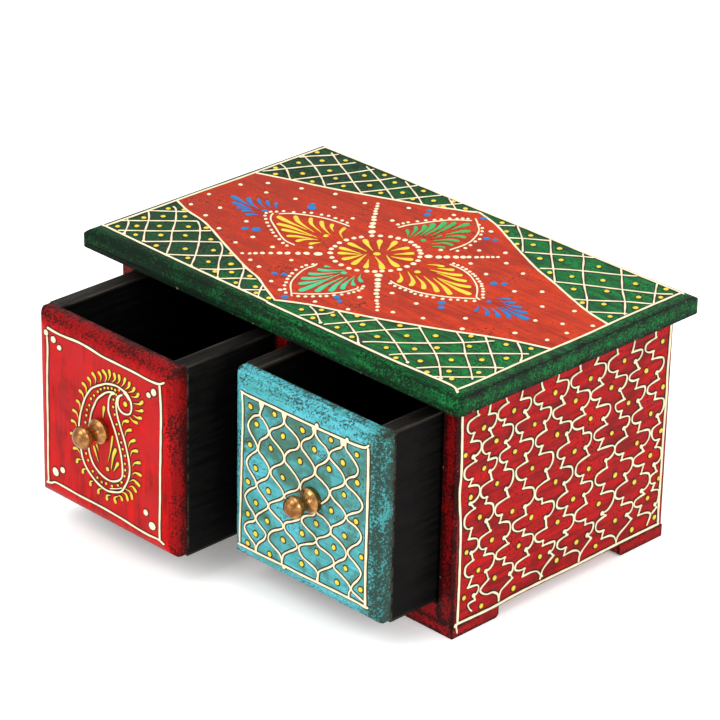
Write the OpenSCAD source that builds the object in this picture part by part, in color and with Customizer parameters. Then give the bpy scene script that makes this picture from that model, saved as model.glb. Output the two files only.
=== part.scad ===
// Small two-drawer chest in painted wood: a plain nailed and glued case on four block feet,
// an overhanging top board with a moulded edge, and two open drawers with turned brass knobs.
// All lengths are in millimetres. The box stands on z = 0, and -Y is the side with the drawers.

/* [Case] */
// Width over the two side panels
case_w = 181; // [150:1:260]
// Depth from the front edges to the back of the case
case_d = 117; // [95:1:180]
// Clear height of the two drawer bays
bay_h = 79.4; // [55:0.1:120]
// Thickness of the side panels
side_t = 7.2; // [6:0.1:10]
// Thickness of the bottom board
floor_t = 7.4; // [6:0.1:12]
// Thickness of the ceiling panel, which carries the top board
ceiling_t = 6.7; // [5:0.1:12]
// Thickness of the upright between the two bays
divider_t = 8.5; // [6:0.5:14]
// Thickness of the back panel
back_t = 6; // [4:0.5:10]
// Wood left outside the back panel in the rebates of the side panels
rebate_wall = 4; // [2:0.5:5]
// Depth of the housings that hold the upright's two ends
housing_deep = 2; // [1:0.5:3]
// Radius that softens the outer upright arrises of the side panels
arris_r = 1.3; // [0.5:0.1:1.8]

/* [Top board] */
// Thickness of the top board
board_t = 7.5; // [7:0.5:12]
// How far the top board stands out past each side panel
side_over = 10.6; // [5:0.1:20]
// How far the top board stands out past the front edges
front_over = 11.5; // [5:0.5:20]
// How far the top board stands out past the back
rear_over = 1.8; // [0:0.1:20]
// Radius of the round nose along the top board's upper edge
nose_r = 5.2; // [2:0.1:5.4]
// Height of the square lip under the nose
lip_h = 1.6; // [1:0.1:2]
// Radius of the fine quirk groove between the lip and the nose
quirk_r = 0.55; // [0.3:0.05:0.8]
// Radius of the top board's corners in plan
board_corner_r = 3; // [0.5:0.1:4]

/* [Feet] */
// Length of a foot along the side of the case
foot_l = 25; // [15:1:40]
// Width of a foot along the front of the case
foot_w = 25; // [15:1:40]
// Height of a foot
foot_h = 5; // [3:0.5:15]
// Radius of a foot's two lower inner edges
foot_r = 2; // [0.5:0.5:2.5]

/* [Drawers] */
// Thickness of a drawer front
front_t = 8; // [7:0.5:12]
// Radius rounded over all four edges of the drawer front's face
face_round_r = 6.5; // [2:0.5:6.5]
// Radius of the drawer front's outline at its four corners
face_corner_r = 1; // [0.5:0.1:3]
// Thickness of the drawer's side boards
wall_t = 7; // [5:0.5:9]
// Thickness of the drawer's back board
rear_t = 7; // [5:0.5:9]
// Thickness of the thin drawer bottom
panel_t = 3; // [2:0.5:4]
// Depth of the groove that the drawer bottom slides into
groove_deep = 3; // [2:0.5:4]
// Height of that groove above the drawer's lower edge
groove_up = 3; // [2:0.5:6]
// Gap between a drawer and the upright
inner_gap = 0.6; // [0.2:0.1:2]
// Gap between a drawer and the side panel
outer_gap = 1.7; // [0.2:0.1:2]
// Gap under a drawer
under_gap = 0.3; // [0.2:0.1:1]
// How far a front's lower edge stands up from its drawer's lower edge
front_up = 0.5; // [0.2:0.1:1]
// Gap above the left drawer
left_over_gap = 0.6; // [0.3:0.1:2]
// Gap above the right drawer
right_over_gap = 1.8; // [0.3:0.1:2]
// Gap left behind a shut drawer
end_gap = 2; // [1:0.5:6]
// How far the left drawer is drawn out
left_open = 51.7; // [0:0.1:80]
// How far the right drawer is drawn out
right_open = 31.2; // [0:0.1:80]

/* [Knobs] */
// Radius of the knob's base rim
rim_r = 4.9; // [4.5:0.05:6.5]
// Thickness of the base rim
rim_t = 2; // [0.6:0.1:3]
// Radius of the waist behind the head
waist_r = 2.9; // [2.4:0.1:3]
// Radius of the hollow curve that runs from the rim to the waist
flare_r = 4; // [3.6:0.1:6]
// Length of the straight waist between the hollow curve and the head
waist_l = 1; // [0.5:0.1:4]
// Radius of the round head, across the knob's axis
head_r = 4.45; // [4.2:0.05:7]
// Depth of the head, along the knob's axis
head_deep = 7.2; // [6.4:0.1:8]
// Radius of the round edge between the head's two domes
head_edge_r = 3; // [2.4:0.1:3.1]
// Sideways offset of the left knob from the middle of its front
left_knob_shift = -0.5; // [-6:0.1:6]
// Sideways offset of the right knob from the middle of its front
right_knob_shift = 5.3; // [-6:0.1:6]
// Height of a knob above the middle of its drawer
knob_up = 1.8; // [-6:0.1:6]

/* [Knob fastening] */
// Radius of the screw's shank
shank_r = 1.5; // [1.25:0.05:1.75]
// How deep the screw runs into the knob
screw_in = 7; // [4:0.5:8]
// Radius of the pan head
pan_r = 2.8; // [2.5:0.1:3.5]
// Height of the pan head
pan_h = 1.8; // [1.4:0.1:2.5]
// Width of the driver slot in the pan head
slot_w = 0.8; // [0.5:0.1:1]
// Depth of the driver slot
slot_deep = 0.9; // [0.5:0.1:1]
// Outer radius of the washer under the pan head
washer_r = 3.5; // [3.5:0.1:5]
// Thickness of the washer
washer_t = 0.5; // [0.4:0.1:1]
// Radial clearance of the screw in the washer and in the drawer front
clear_fit = 0.25; // [0.1:0.05:0.4]
// Radial clearance that stands for the thread between the screw and the knob
thread_fit = 0.05; // [0.02:0.01:0.1]

/* [Hidden] */
$fn = 64;

// One overrun lets every cut pass the surface that it opens.
overrun = 1;

// Heights, from the surface that the feet stand on.
case_z = foot_h;
bay_z = case_z + floor_t;
ceiling_z = bay_z + bay_h;
board_z = ceiling_z + ceiling_t;
case_h = floor_t + bay_h + ceiling_t;

// The knob's outline: the head's two domes run smoothly into its round edge.
edge_off = head_r - head_edge_r;
head_half = head_deep / 2;
dome_r = (edge_off * edge_off + head_half * head_half - head_edge_r * head_edge_r)
    / (2 * (head_half - head_edge_r));
dome_off = dome_r - head_half;
dome_edge_x = dome_r * edge_off / (dome_r - head_edge_r);
flare_in = flare_r - rim_r + waist_r;
waist_z = rim_t + sqrt(flare_r * flare_r - flare_in * flare_in);
head_z = waist_z + waist_l + sqrt(dome_r * dome_r - waist_r * waist_r) - dome_off;
knob_len = head_z + head_half;

// Depths. The origin lies under the middle of everything, drawers out.
reach = max(left_open, right_open) + knob_len;
total_d = reach + case_d + rear_over;
front_y = reach - total_d / 2;
rear_y = front_y + case_d;

// The case and its bays.
inner_w = case_w - 2 * side_t;
bay_w = (inner_w - divider_t) / 2;
bay_d = case_d - back_t;
board_w = case_w + 2 * side_over;
board_d = case_d + front_over + rear_over;

// A drawer, in its own frame: face at y = 0, lower edge at z = 0, middle at x = 0.
front_w = bay_w - inner_gap - outer_gap;
drawer_x = divider_t / 2 + inner_gap + front_w / 2;
left_h = bay_h - under_gap - left_over_gap;
right_h = bay_h - under_gap - right_over_gap;
drawer_d = bay_d - end_gap;
box_in_w = front_w - 2 * wall_t;

green = [0.06, 0.42, 0.25];
crimson = [0.68, 0.08, 0.10];
turquoise = [0.25, 0.68, 0.78];
black_stain = [0.13, 0.12, 0.12];
antique_brass = [0.62, 0.45, 0.27];
steel_grey = [0.62, 0.62, 0.64];

// Rectangle with its lower left corner at the origin. The round list names the corners
// that get radius r: [lower left, lower right, upper right, upper left].
module eased_rectangle(size, r, round = [true, true, true, true]) {
    corners = [[0, 0], [size[0], 0], [size[0], size[1]], [0, size[1]]];
    inward = [[1, 1], [-1, 1], [-1, -1], [1, -1]];
    difference() {
        square(size);
        for (i = [0:3])
            if (round[i])
                translate(corners[i])
                    mirror([inward[i][0] < 0 ? 1 : 0, 0])
                        mirror([0, inward[i][1] < 0 ? 1 : 0])
                            corner_waste(r);
    }
}

// What a round of radius r takes off a corner at the origin.
module corner_waste(r) {
    difference() {
        translate([-overrun, -overrun])
            square(r + overrun);
        translate([r, r])
            circle(r);
    }
}

// Extrudes a section drawn as (x, z) along Y, from y = 0 backwards.
module along_y(length) {
    translate([0, length, 0])
        rotate([90, 0, 0])
            linear_extrude(length)
                children();
}

// Extrudes a section drawn as (y, z) along X, from x = 0.
module along_x(length) {
    rotate([90, 0, 90])
        linear_extrude(length)
            children();
}

// Cross-section of the top board: square lip, quirk groove and round nose on both edges.
module board_section(width) {
    difference() {
        eased_rectangle([width, board_t], nose_r, [false, false, true, true]);
        for (x = [0, width])
            translate([x, lip_h + quirk_r])
                circle(quirk_r);
    }
}

// The moulding runs round all four edges, so its two runs meet in mitres at the corners.
module top_board() {
    color(green)
        translate([-board_w / 2, front_y - front_over, board_z])
            intersection() {
                along_y(board_d) board_section(board_w);
                along_x(board_w) board_section(board_d);
                linear_extrude(board_t)
                    eased_rectangle([board_w, board_d], board_corner_r);
            }
}

// Horizontal board between the side panels, with the upright's housing cut at housing_z.
module housed_board(z, thickness, housing_z) {
    difference() {
        translate([-inner_w / 2, front_y, z])
            cube([inner_w, bay_d, thickness]);
        translate([-divider_t / 2, front_y - overrun, housing_z])
            cube([divider_t, bay_d + 2 * overrun, housing_deep + overrun]);
    }
}

module bottom_board() {
    color(crimson)
        housed_board(case_z, floor_t, bay_z - housing_deep);
}

module ceiling_panel() {
    color(crimson)
        housed_board(ceiling_z, ceiling_t, ceiling_z - overrun);
}

module centre_divider() {
    color(crimson)
        translate([-divider_t / 2, front_y, bay_z - housing_deep])
            cube([divider_t, bay_d, bay_h + 2 * housing_deep]);
}

// Right-hand side panel: plan outline with its rear rebate, raised to the case's height.
module side_panel() {
    translate([inner_w / 2, front_y, case_z])
        linear_extrude(case_h)
            difference() {
                eased_rectangle([side_t, case_d], arris_r, [false, true, true, false]);
                translate([-overrun, case_d - back_t])
                    square([side_t - rebate_wall + overrun, back_t + overrun]);
            }
}

module right_side_panel() {
    color(crimson)
        side_panel();
}

module left_side_panel() {
    color(crimson)
        mirror([1, 0, 0])
            side_panel();
}

module back_panel() {
    color(crimson)
        translate([rebate_wall - case_w / 2, rear_y - back_t, case_z])
            cube([case_w - 2 * rebate_wall, back_t, case_h]);
}

// Block foot with its outer corner at the origin, reaching to +X and +Y.
module foot() {
    intersection() {
        along_y(foot_l) eased_rectangle([foot_w, foot_h], foot_r, [false, true, false, false]);
        along_x(foot_w) eased_rectangle([foot_l, foot_h], foot_r, [false, true, false, false]);
    }
}

// Sets a foot at the corner of the case that the two signs name.
module foot_at(side, end) {
    color(crimson)
        translate([side * case_w / 2, end < 0 ? front_y : rear_y, 0])
            mirror([side > 0 ? 1 : 0, 0, 0])
                mirror([0, end > 0 ? 1 : 0, 0])
                    foot();
}

module front_left_foot() {
    foot_at(-1, -1);
}

module front_right_foot() {
    foot_at(1, -1);
}

module rear_left_foot() {
    foot_at(-1, 1);
}

module rear_right_foot() {
    foot_at(1, 1);
}

// Puts a drawer's own frame in its bay, drawn out by open.
module in_bay(side, open) {
    translate([side * drawer_x, front_y - open, bay_z + under_gap])
        children();
}

// Puts a frame whose +Z points out of the drawer on the knob's axis at its seat.
module on_face(shift, height) {
    translate([shift, 0, height / 2 + knob_up])
        rotate([90, 0, 0])
            children();
}

// Panel with all four face edges rounded over, the bottom's groove and the screw hole.
module drawer_front(shift, height) {
    face_h = height - front_up;
    difference() {
        translate([-front_w / 2, 0, front_up])
            intersection() {
                linear_extrude(face_h)
                    eased_rectangle([front_w, front_t], face_round_r, [true, true, false, false]);
                along_x(front_w)
                    eased_rectangle([front_t, face_h], face_round_r, [true, false, false, true]);
                along_y(front_t)
                    eased_rectangle([front_w, face_h], face_corner_r);
            }
        translate([-box_in_w / 2 - groove_deep, front_t - groove_deep, groove_up])
            cube([box_in_w + 2 * groove_deep, groove_deep + overrun, panel_t]);
        on_face(shift, height)
            translate([0, 0, -front_t - overrun])
                cylinder(r = shank_r + clear_fit, h = front_t + 2 * overrun);
    }
}

// Side board on the drawer's right, with the groove for the bottom in its inner face.
module drawer_side(height) {
    difference() {
        translate([box_in_w / 2, front_t, 0])
            cube([wall_t, drawer_d - front_t, height]);
        translate([box_in_w / 2 - overrun, front_t - overrun, groove_up])
            cube([groove_deep + overrun, drawer_d - front_t + 2 * overrun, panel_t]);
    }
}

// The back stands on the bottom, between the sides.
module drawer_back(height) {
    translate([-box_in_w / 2, drawer_d - rear_t, groove_up + panel_t])
        cube([box_in_w, rear_t, height - groove_up - panel_t]);
}

// The bottom slides into the grooves from the rear, under the back.
module drawer_bottom() {
    translate([-box_in_w / 2 - groove_deep, front_t - groove_deep, groove_up])
        cube([box_in_w + 2 * groove_deep, drawer_d - front_t + groove_deep, panel_t]);
}

// Half outline of the head: two domes joined by a round edge, on the knob's axis.
module head_outline() {
    translate([0, head_z]) {
        translate([edge_off, 0])
            circle(head_edge_r);
        intersection() {
            translate([0, -head_half])
                square([dome_edge_x, head_deep]);
            translate([0, -dome_off])
                circle(dome_r);
            translate([0, dome_off])
                circle(dome_r);
        }
    }
}

// Turned knob: base rim, hollow curve, waist and a head with domed face and back.
module knob() {
    difference() {
        rotate_extrude()
            intersection() {
                square([rim_r, knob_len]);
                union() {
                    square([rim_r, rim_t]);
                    difference() {
                        square([rim_r, waist_z]);
                        translate([waist_r + flare_r, waist_z])
                            circle(flare_r);
                    }
                    square([waist_r, head_z]);
                    head_outline();
                }
            }
        translate([0, 0, -overrun])
            cylinder(r = shank_r + thread_fit, h = screw_in + thread_fit + overrun);
    }
}

// Screw that passes from inside the drawer through washer and front into the knob.
module knob_screw() {
    seat = -front_t - washer_t;
    translate([0, 0, seat])
        cylinder(r = shank_r, h = screw_in - seat);
    difference() {
        translate([0, 0, seat - pan_h])
            rotate_extrude()
                intersection() {
                    square([pan_r, pan_h]);
                    translate([0, pan_r])
                        circle(pan_r);
                }
        translate([-pan_r - overrun, -slot_w / 2, seat - pan_h - overrun])
            cube([2 * (pan_r + overrun), slot_w, slot_deep + overrun]);
    }
}

module knob_washer() {
    translate([0, 0, -front_t - washer_t])
        difference() {
            cylinder(r = washer_r, h = washer_t);
            translate([0, 0, -overrun])
                cylinder(r = shank_r + clear_fit, h = washer_t + 2 * overrun);
        }
}

module left_drawer_front() {
    color(crimson) in_bay(-1, left_open) drawer_front(left_knob_shift, left_h);
}

module left_drawer_left_side() {
    color(black_stain) in_bay(-1, left_open) mirror([1, 0, 0]) drawer_side(left_h);
}

module left_drawer_right_side() {
    color(black_stain) in_bay(-1, left_open) drawer_side(left_h);
}

module left_drawer_back() {
    color(black_stain) in_bay(-1, left_open) drawer_back(left_h);
}

module left_drawer_bottom() {
    color(black_stain) in_bay(-1, left_open) drawer_bottom();
}

module left_knob() {
    color(antique_brass) in_bay(-1, left_open) on_face(left_knob_shift, left_h) knob();
}

module left_knob_screw() {
    color(steel_grey) in_bay(-1, left_open) on_face(left_knob_shift, left_h) knob_screw();
}

module left_knob_washer() {
    color(steel_grey) in_bay(-1, left_open) on_face(left_knob_shift, left_h) knob_washer();
}

module right_drawer_front() {
    color(turquoise) in_bay(1, right_open) drawer_front(right_knob_shift, right_h);
}

module right_drawer_left_side() {
    color(black_stain) in_bay(1, right_open) mirror([1, 0, 0]) drawer_side(right_h);
}

module right_drawer_right_side() {
    color(black_stain) in_bay(1, right_open) drawer_side(right_h);
}

module right_drawer_back() {
    color(black_stain) in_bay(1, right_open) drawer_back(right_h);
}

module right_drawer_bottom() {
    color(black_stain) in_bay(1, right_open) drawer_bottom();
}

module right_knob() {
    color(antique_brass) in_bay(1, right_open) on_face(right_knob_shift, right_h) knob();
}

module right_knob_screw() {
    color(steel_grey) in_bay(1, right_open) on_face(right_knob_shift, right_h) knob_screw();
}

module right_knob_washer() {
    color(steel_grey) in_bay(1, right_open) on_face(right_knob_shift, right_h) knob_washer();
}

top_board();
ceiling_panel();
left_side_panel();
right_side_panel();
back_panel();
bottom_board();
centre_divider();
front_left_foot();
front_right_foot();
rear_left_foot();
rear_right_foot();
left_drawer_front();
left_drawer_left_side();
left_drawer_right_side();
left_drawer_back();
left_drawer_bottom();
left_knob();
left_knob_screw();
left_knob_washer();
right_drawer_front();
right_drawer_left_side();
right_drawer_right_side();
right_drawer_back();
right_drawer_bottom();
right_knob();
right_knob_screw();
right_knob_washer();
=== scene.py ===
"""Looks of a small painted wooden chest with two drawers: worn paint, raised painted ornament, brass.

Ornament is in millimetres, in each painted face's own u, v and height, and becomes metres in Face.at.
"""

import math
import random

import bpy
from mathutils import Matrix, Vector


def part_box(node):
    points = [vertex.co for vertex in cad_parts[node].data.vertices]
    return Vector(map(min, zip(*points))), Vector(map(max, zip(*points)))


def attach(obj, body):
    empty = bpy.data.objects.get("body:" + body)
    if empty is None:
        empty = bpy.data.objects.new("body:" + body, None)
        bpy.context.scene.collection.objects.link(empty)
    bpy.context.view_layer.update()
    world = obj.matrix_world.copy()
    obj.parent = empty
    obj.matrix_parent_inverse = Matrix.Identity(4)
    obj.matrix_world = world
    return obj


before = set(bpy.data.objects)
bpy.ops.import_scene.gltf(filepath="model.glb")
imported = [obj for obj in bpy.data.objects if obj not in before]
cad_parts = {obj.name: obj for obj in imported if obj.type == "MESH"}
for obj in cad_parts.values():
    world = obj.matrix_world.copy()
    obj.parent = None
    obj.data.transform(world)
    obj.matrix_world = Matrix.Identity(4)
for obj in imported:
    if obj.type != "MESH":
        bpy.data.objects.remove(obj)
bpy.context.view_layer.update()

MM = 0.001
PER_MM = 1000.0


def rgb(red, green, blue):
    """Scene-linear colour of 8-bit display values."""
    def linear(value):
        value /= 255
        return value / 12.92 if value <= 0.04045 else ((value + 0.055) / 1.055) ** 2.4
    return (linear(red), linear(green), linear(blue), 1.0)


WHITE = (1.0, 1.0, 1.0, 1.0)
CREAM = rgb(229, 215, 180)
YELLOW = rgb(216, 190, 54)
LEAF_GREEN = rgb(50, 160, 82)
MINT = rgb(62, 180, 128)
BLUE = rgb(4, 108, 172)
# The dark residue and painted shade round raised paint, by what it lies on.
GREEN_GRIME_AND_SHADE, FIELD_GRIME_AND_SHADE, SIDE_GRIME_AND_SHADE = rgb(14, 28, 18), rgb(84, 24, 16), rgb(28, 4, 5)
LEFT_FRONT_GRIME_AND_SHADE, RIGHT_FRONT_GRIME_AND_SHADE = rgb(60, 8, 10), rgb(52, 34, 18)


def lerp(a, b, t):
    return a + (b - a) * t


def smooth(points, step):
    """Points at about step along the Catmull-Rom curve through points."""
    n = len(points)
    out = []
    for i in range(n - 1):
        p1, p2 = points[i], points[i + 1]
        p0 = points[i - 1] if i else (2 * p1[0] - p2[0], 2 * p1[1] - p2[1])
        p3 = points[i + 2] if i + 2 < n else (2 * p2[0] - p1[0], 2 * p2[1] - p1[1])
        count = max(2, int(math.dist(p1, p2) / step + 0.5))
        for k in range(count):
            t = k / count
            out.append(tuple(
                0.5 * (2 * p1[c] + (p2[c] - p0[c]) * t
                       + (2 * p0[c] - 5 * p1[c] + 4 * p2[c] - p3[c]) * t * t
                       + (3 * p1[c] - p0[c] - 3 * p2[c] + p3[c]) * t ** 3)
                for c in (0, 1)))
    out.append(tuple(points[-1]))
    return out


class Face:
    """A painted face: u and v run along it, height stands off it.

    round_nose = (half u, half v, radius) lets its rim fall back round a quarter circle."""

    def __init__(self, origin, u, v, round_nose=None, mirrored=False):
        self.origin, self.u, self.v = Vector(origin), Vector(u), Vector(v)
        self.mirrored = mirrored
        self.normal = self.u.cross(self.v) * (-1 if mirrored else 1)
        self.round_nose = round_nose

    def fall(self, u, v):
        """How far the rounded rim has fallen back at a place."""
        if not self.round_nose:
            return 0.0
        half_u, half_v, radius = self.round_nose
        past = min(max(abs(u) - half_u, abs(v) - half_v, 0.0), radius * 0.97)
        return radius - math.sqrt(radius * radius - past * past)

    def at(self, u, v, height=0.0):
        return self.origin + (self.u * u + self.v * v + self.normal * (height - self.fall(u, v))) * MM


# A bead of paint, in millimetres. A low skirt runs round it and reaches SKIRT past the bead; its
# material paints the skirt dark, as dark residue and painted shade. It starts at the height SUNK,
# inside the board, and rises over LIP to SHOULDER, where the bead's back of ROUND sides begins.
SKIRT = 0.46
SUNK = -0.06
LIP = 0.03
SHOULDER = 0.06
ROUND = 6
# The least half width of a bead, and the length below which a stroke is left out.
THINNEST = 0.02
SHORTEST = 0.2
# Where the rounded end of a stroke has its sections, as shares of its half width.
CAP_SHARES = (0.0, 0.08, 0.3, 0.6)
# A dot's sides, and the angles up its dome at which it has a ring.
DOT_SIDES = 12
DOME_ANGLES = (0.4, 0.8, 1.2)
# The most that a drop, or a dot with no height of its own, stands up.
CROWN = 0.55


def stations(lengths, cap):
    """Lengths along a stroke: a few at each rounded end and one at each bend between them."""
    total = lengths[-1]
    start = [cap * share for share in CAP_SHARES]
    bends = [s for s in lengths if cap < s < total - cap]
    return start + bends + [total - s for s in reversed(start)]


def spot(path, lengths, seg, s):
    """Point and normal at length s, on the stretch of path that starts at its point number seg."""
    a, b = path[seg], path[seg + 1]
    span = lengths[seg + 1] - lengths[seg]
    t = (s - lengths[seg]) / span if span else 0.0
    before, after = path[max(seg - 1, 0)], path[min(seg + 2, len(path) - 1)]
    tangent = (after[0] - before[0], after[1] - before[1])
    size = math.hypot(*tangent) or 1.0
    point = (lerp(a[0], b[0], t), lerp(a[1], b[1], t))
    return point, (-tangent[1] / size, tangent[0] / size)


def add_piece(name, mesh, body, material):
    """Puts a mesh of paint into the scene, riding on its body."""
    made = bpy.data.objects.new(name, mesh)
    bpy.context.scene.collection.objects.link(made)
    mesh.materials.append(material)
    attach(made, body)


class Relief:
    """Strokes, drops and dots of one raised paint on one face, gathered into one mesh.

    Each vertex keeps its height above the face in the layer "lift", for the paint's material."""

    def __init__(self, face, seed, height=0.42):
        self.face, self.height = face, height
        self.rng = random.Random(seed)
        self.verts, self.lifts, self.faces = [], [], []

    def vertex(self, u, v, up):
        self.verts.append(tuple(self.face.at(u, v, up)))
        self.lifts.append(up)

    def stroke(self, path, width, height=None, swell=None, wobble=0.1):
        """Rounded bead along path, with a low skirt. swell(t) scales its width along its length."""
        height = height or self.height
        lengths = [0.0]
        for a, b in zip(path, path[1:]):
            lengths.append(lengths[-1] + math.dist(a, b))
        total = lengths[-1]
        if total < SHORTEST:
            return
        half = width / 2
        phase, pace = self.rng.uniform(0, 9), self.rng.uniform(0.5, 0.9)
        cap = min(half, total / 2)
        rings = []
        seg = 0
        for s in stations(lengths, cap):
            while seg < len(path) - 2 and lengths[seg + 1] < s:
                seg += 1
            point, normal = spot(path, lengths, seg, s)
            near = min(s, total - s)
            ease = math.sqrt(max(0.0, 1 - (1 - near / cap) ** 2)) if near < cap else 1.0
            wide = half * ease * (1 + wobble * math.sin(phase + s * pace))
            if swell:
                wide *= swell(s / total)
                high = height * min(1.0, 0.45 + 0.6 * wide / half)
            else:
                high = height * (0.35 + 0.65 * ease)
            rings.append(self._ring(point, normal, max(wide, THINNEST), high if ease else SHOULDER))
        self._skin(rings)

    def _ring(self, point, normal, wide, high):
        """One section of a bead, across its path."""
        side = [(wide + SKIRT, SUNK), (wide + SKIRT, LIP), (wide, SHOULDER)]
        back = []
        for k in range(1, ROUND):
            angle = math.pi * k / ROUND
            back.append((wide * math.cos(angle), max(SHOULDER, high * math.sin(angle))))
        other_side = [(-across, up) for across, up in reversed(side)]
        start = len(self.verts)
        for across, up in side + back + other_side:
            self.vertex(point[0] + normal[0] * across, point[1] + normal[1] * across, up)
        return list(range(start, len(self.verts)))

    def _skin(self, rings):
        """Joins the sections of a bead, and closes both of its ends."""
        for a, b in zip(rings, rings[1:]):
            for k in range(len(a)):
                j = (k + 1) % len(a)
                self.faces.append((a[k], b[k], b[j], a[j]))
        self.faces.append(tuple(rings[0]))
        self.faces.append(tuple(reversed(rings[-1])))

    def dot(self, u, v, radius, height=None):
        """Domed drop of paint with a low skirt."""
        height = height or min(0.75 * radius, CROWN)
        radius *= self.rng.uniform(0.93, 1.07)
        squash = self.rng.uniform(0.92, 1.08)
        turn = self.rng.uniform(0, math.pi)
        levels = [(radius + SKIRT, SUNK), (radius + SKIRT, LIP), (radius, SHOULDER)]
        levels += [(radius * math.cos(a), max(SHOULDER, height * math.sin(a))) for a in DOME_ANGLES]
        start = len(self.verts)
        for reach, up in levels:
            for k in range(DOT_SIDES):
                angle = 2 * math.pi * k / DOT_SIDES
                x, y = reach * math.cos(angle) * squash, reach * math.sin(angle) / squash
                self.vertex(u + x * math.cos(turn) - y * math.sin(turn),
                            v + x * math.sin(turn) + y * math.cos(turn), up)
        self.vertex(u, v, height)
        top = len(self.verts) - 1
        for ring in range(len(levels) - 1):
            low, high = start + ring * DOT_SIDES, start + (ring + 1) * DOT_SIDES
            for k in range(DOT_SIDES):
                j = (k + 1) % DOT_SIDES
                self.faces.append((low + k, low + j, high + j, high + k))
        last = start + (len(levels) - 1) * DOT_SIDES
        for k in range(DOT_SIDES):
            self.faces.append((last + k, last + (k + 1) % DOT_SIDES, top))
        self.faces.append(tuple(start + DOT_SIDES - 1 - k for k in range(DOT_SIDES)))

    def drop(self, tail, middle, head, width):
        """Teardrop stroke from a thin tail through middle to a round head."""
        size = math.dist(middle, head) or 1.0
        reach = width * 0.32 / size
        tip = (head[0] + (head[0] - middle[0]) * reach, head[1] + (head[1] - middle[1]) * reach)
        self.stroke(smooth([tail, middle, tip], 0.45), width * 0.84, height=CROWN, wobble=0.0,
                    swell=lambda t: 0.2 + 0.8 * min(1.0, t / 0.74) ** 1.6)

    def strokes(self, lists, step, width, **how):
        """A smooth stroke through each list of points."""
        for points in lists:
            self.stroke(smooth(points, step), width, **how)

    def dots(self, places, radius, **how):
        for u, v in places:
            self.dot(u, v, radius, **how)

    def sized_dots(self, places, **how):
        """Dots whose places each bring a radius."""
        for u, v, radius in places:
            self.dot(u, v, radius, **how)

    def drops(self, parts):
        for tail, middle, head, width in parts:
            self.drop(tail, middle, head, width)

    def piece(self, name, body, slot, material):
        mesh = bpy.data.meshes.new(name)
        mesh.from_pydata(self.verts, [], self.faces)
        lift = mesh.attributes.new("lift", "FLOAT", "POINT")
        lift.data.foreach_set("value", self.lifts)
        if self.face.mirrored:
            mesh.flip_normals()
        mesh.update()
        for polygon in mesh.polygons:
            polygon.use_smooth = True
        add_piece(name, mesh, body, material)


def paint_layer(name, face, outline, thick, body, slot, material):
    """Thin layer of paint with any plain outline on a face, counter-clockwise."""
    n = len(outline)
    verts = [tuple(face.at(u, v, SUNK)) for u, v in outline]
    verts += [tuple(face.at(u, v, thick)) for u, v in outline]
    faces = [tuple(reversed(range(n))), tuple(range(n, 2 * n))]
    faces += [(k, (k + 1) % n, n + (k + 1) % n, n + k) for k in range(n)]
    mesh = bpy.data.meshes.new(name)
    mesh.from_pydata(verts, [], faces)
    mesh.update()
    add_piece(name, mesh, body, material)


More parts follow.
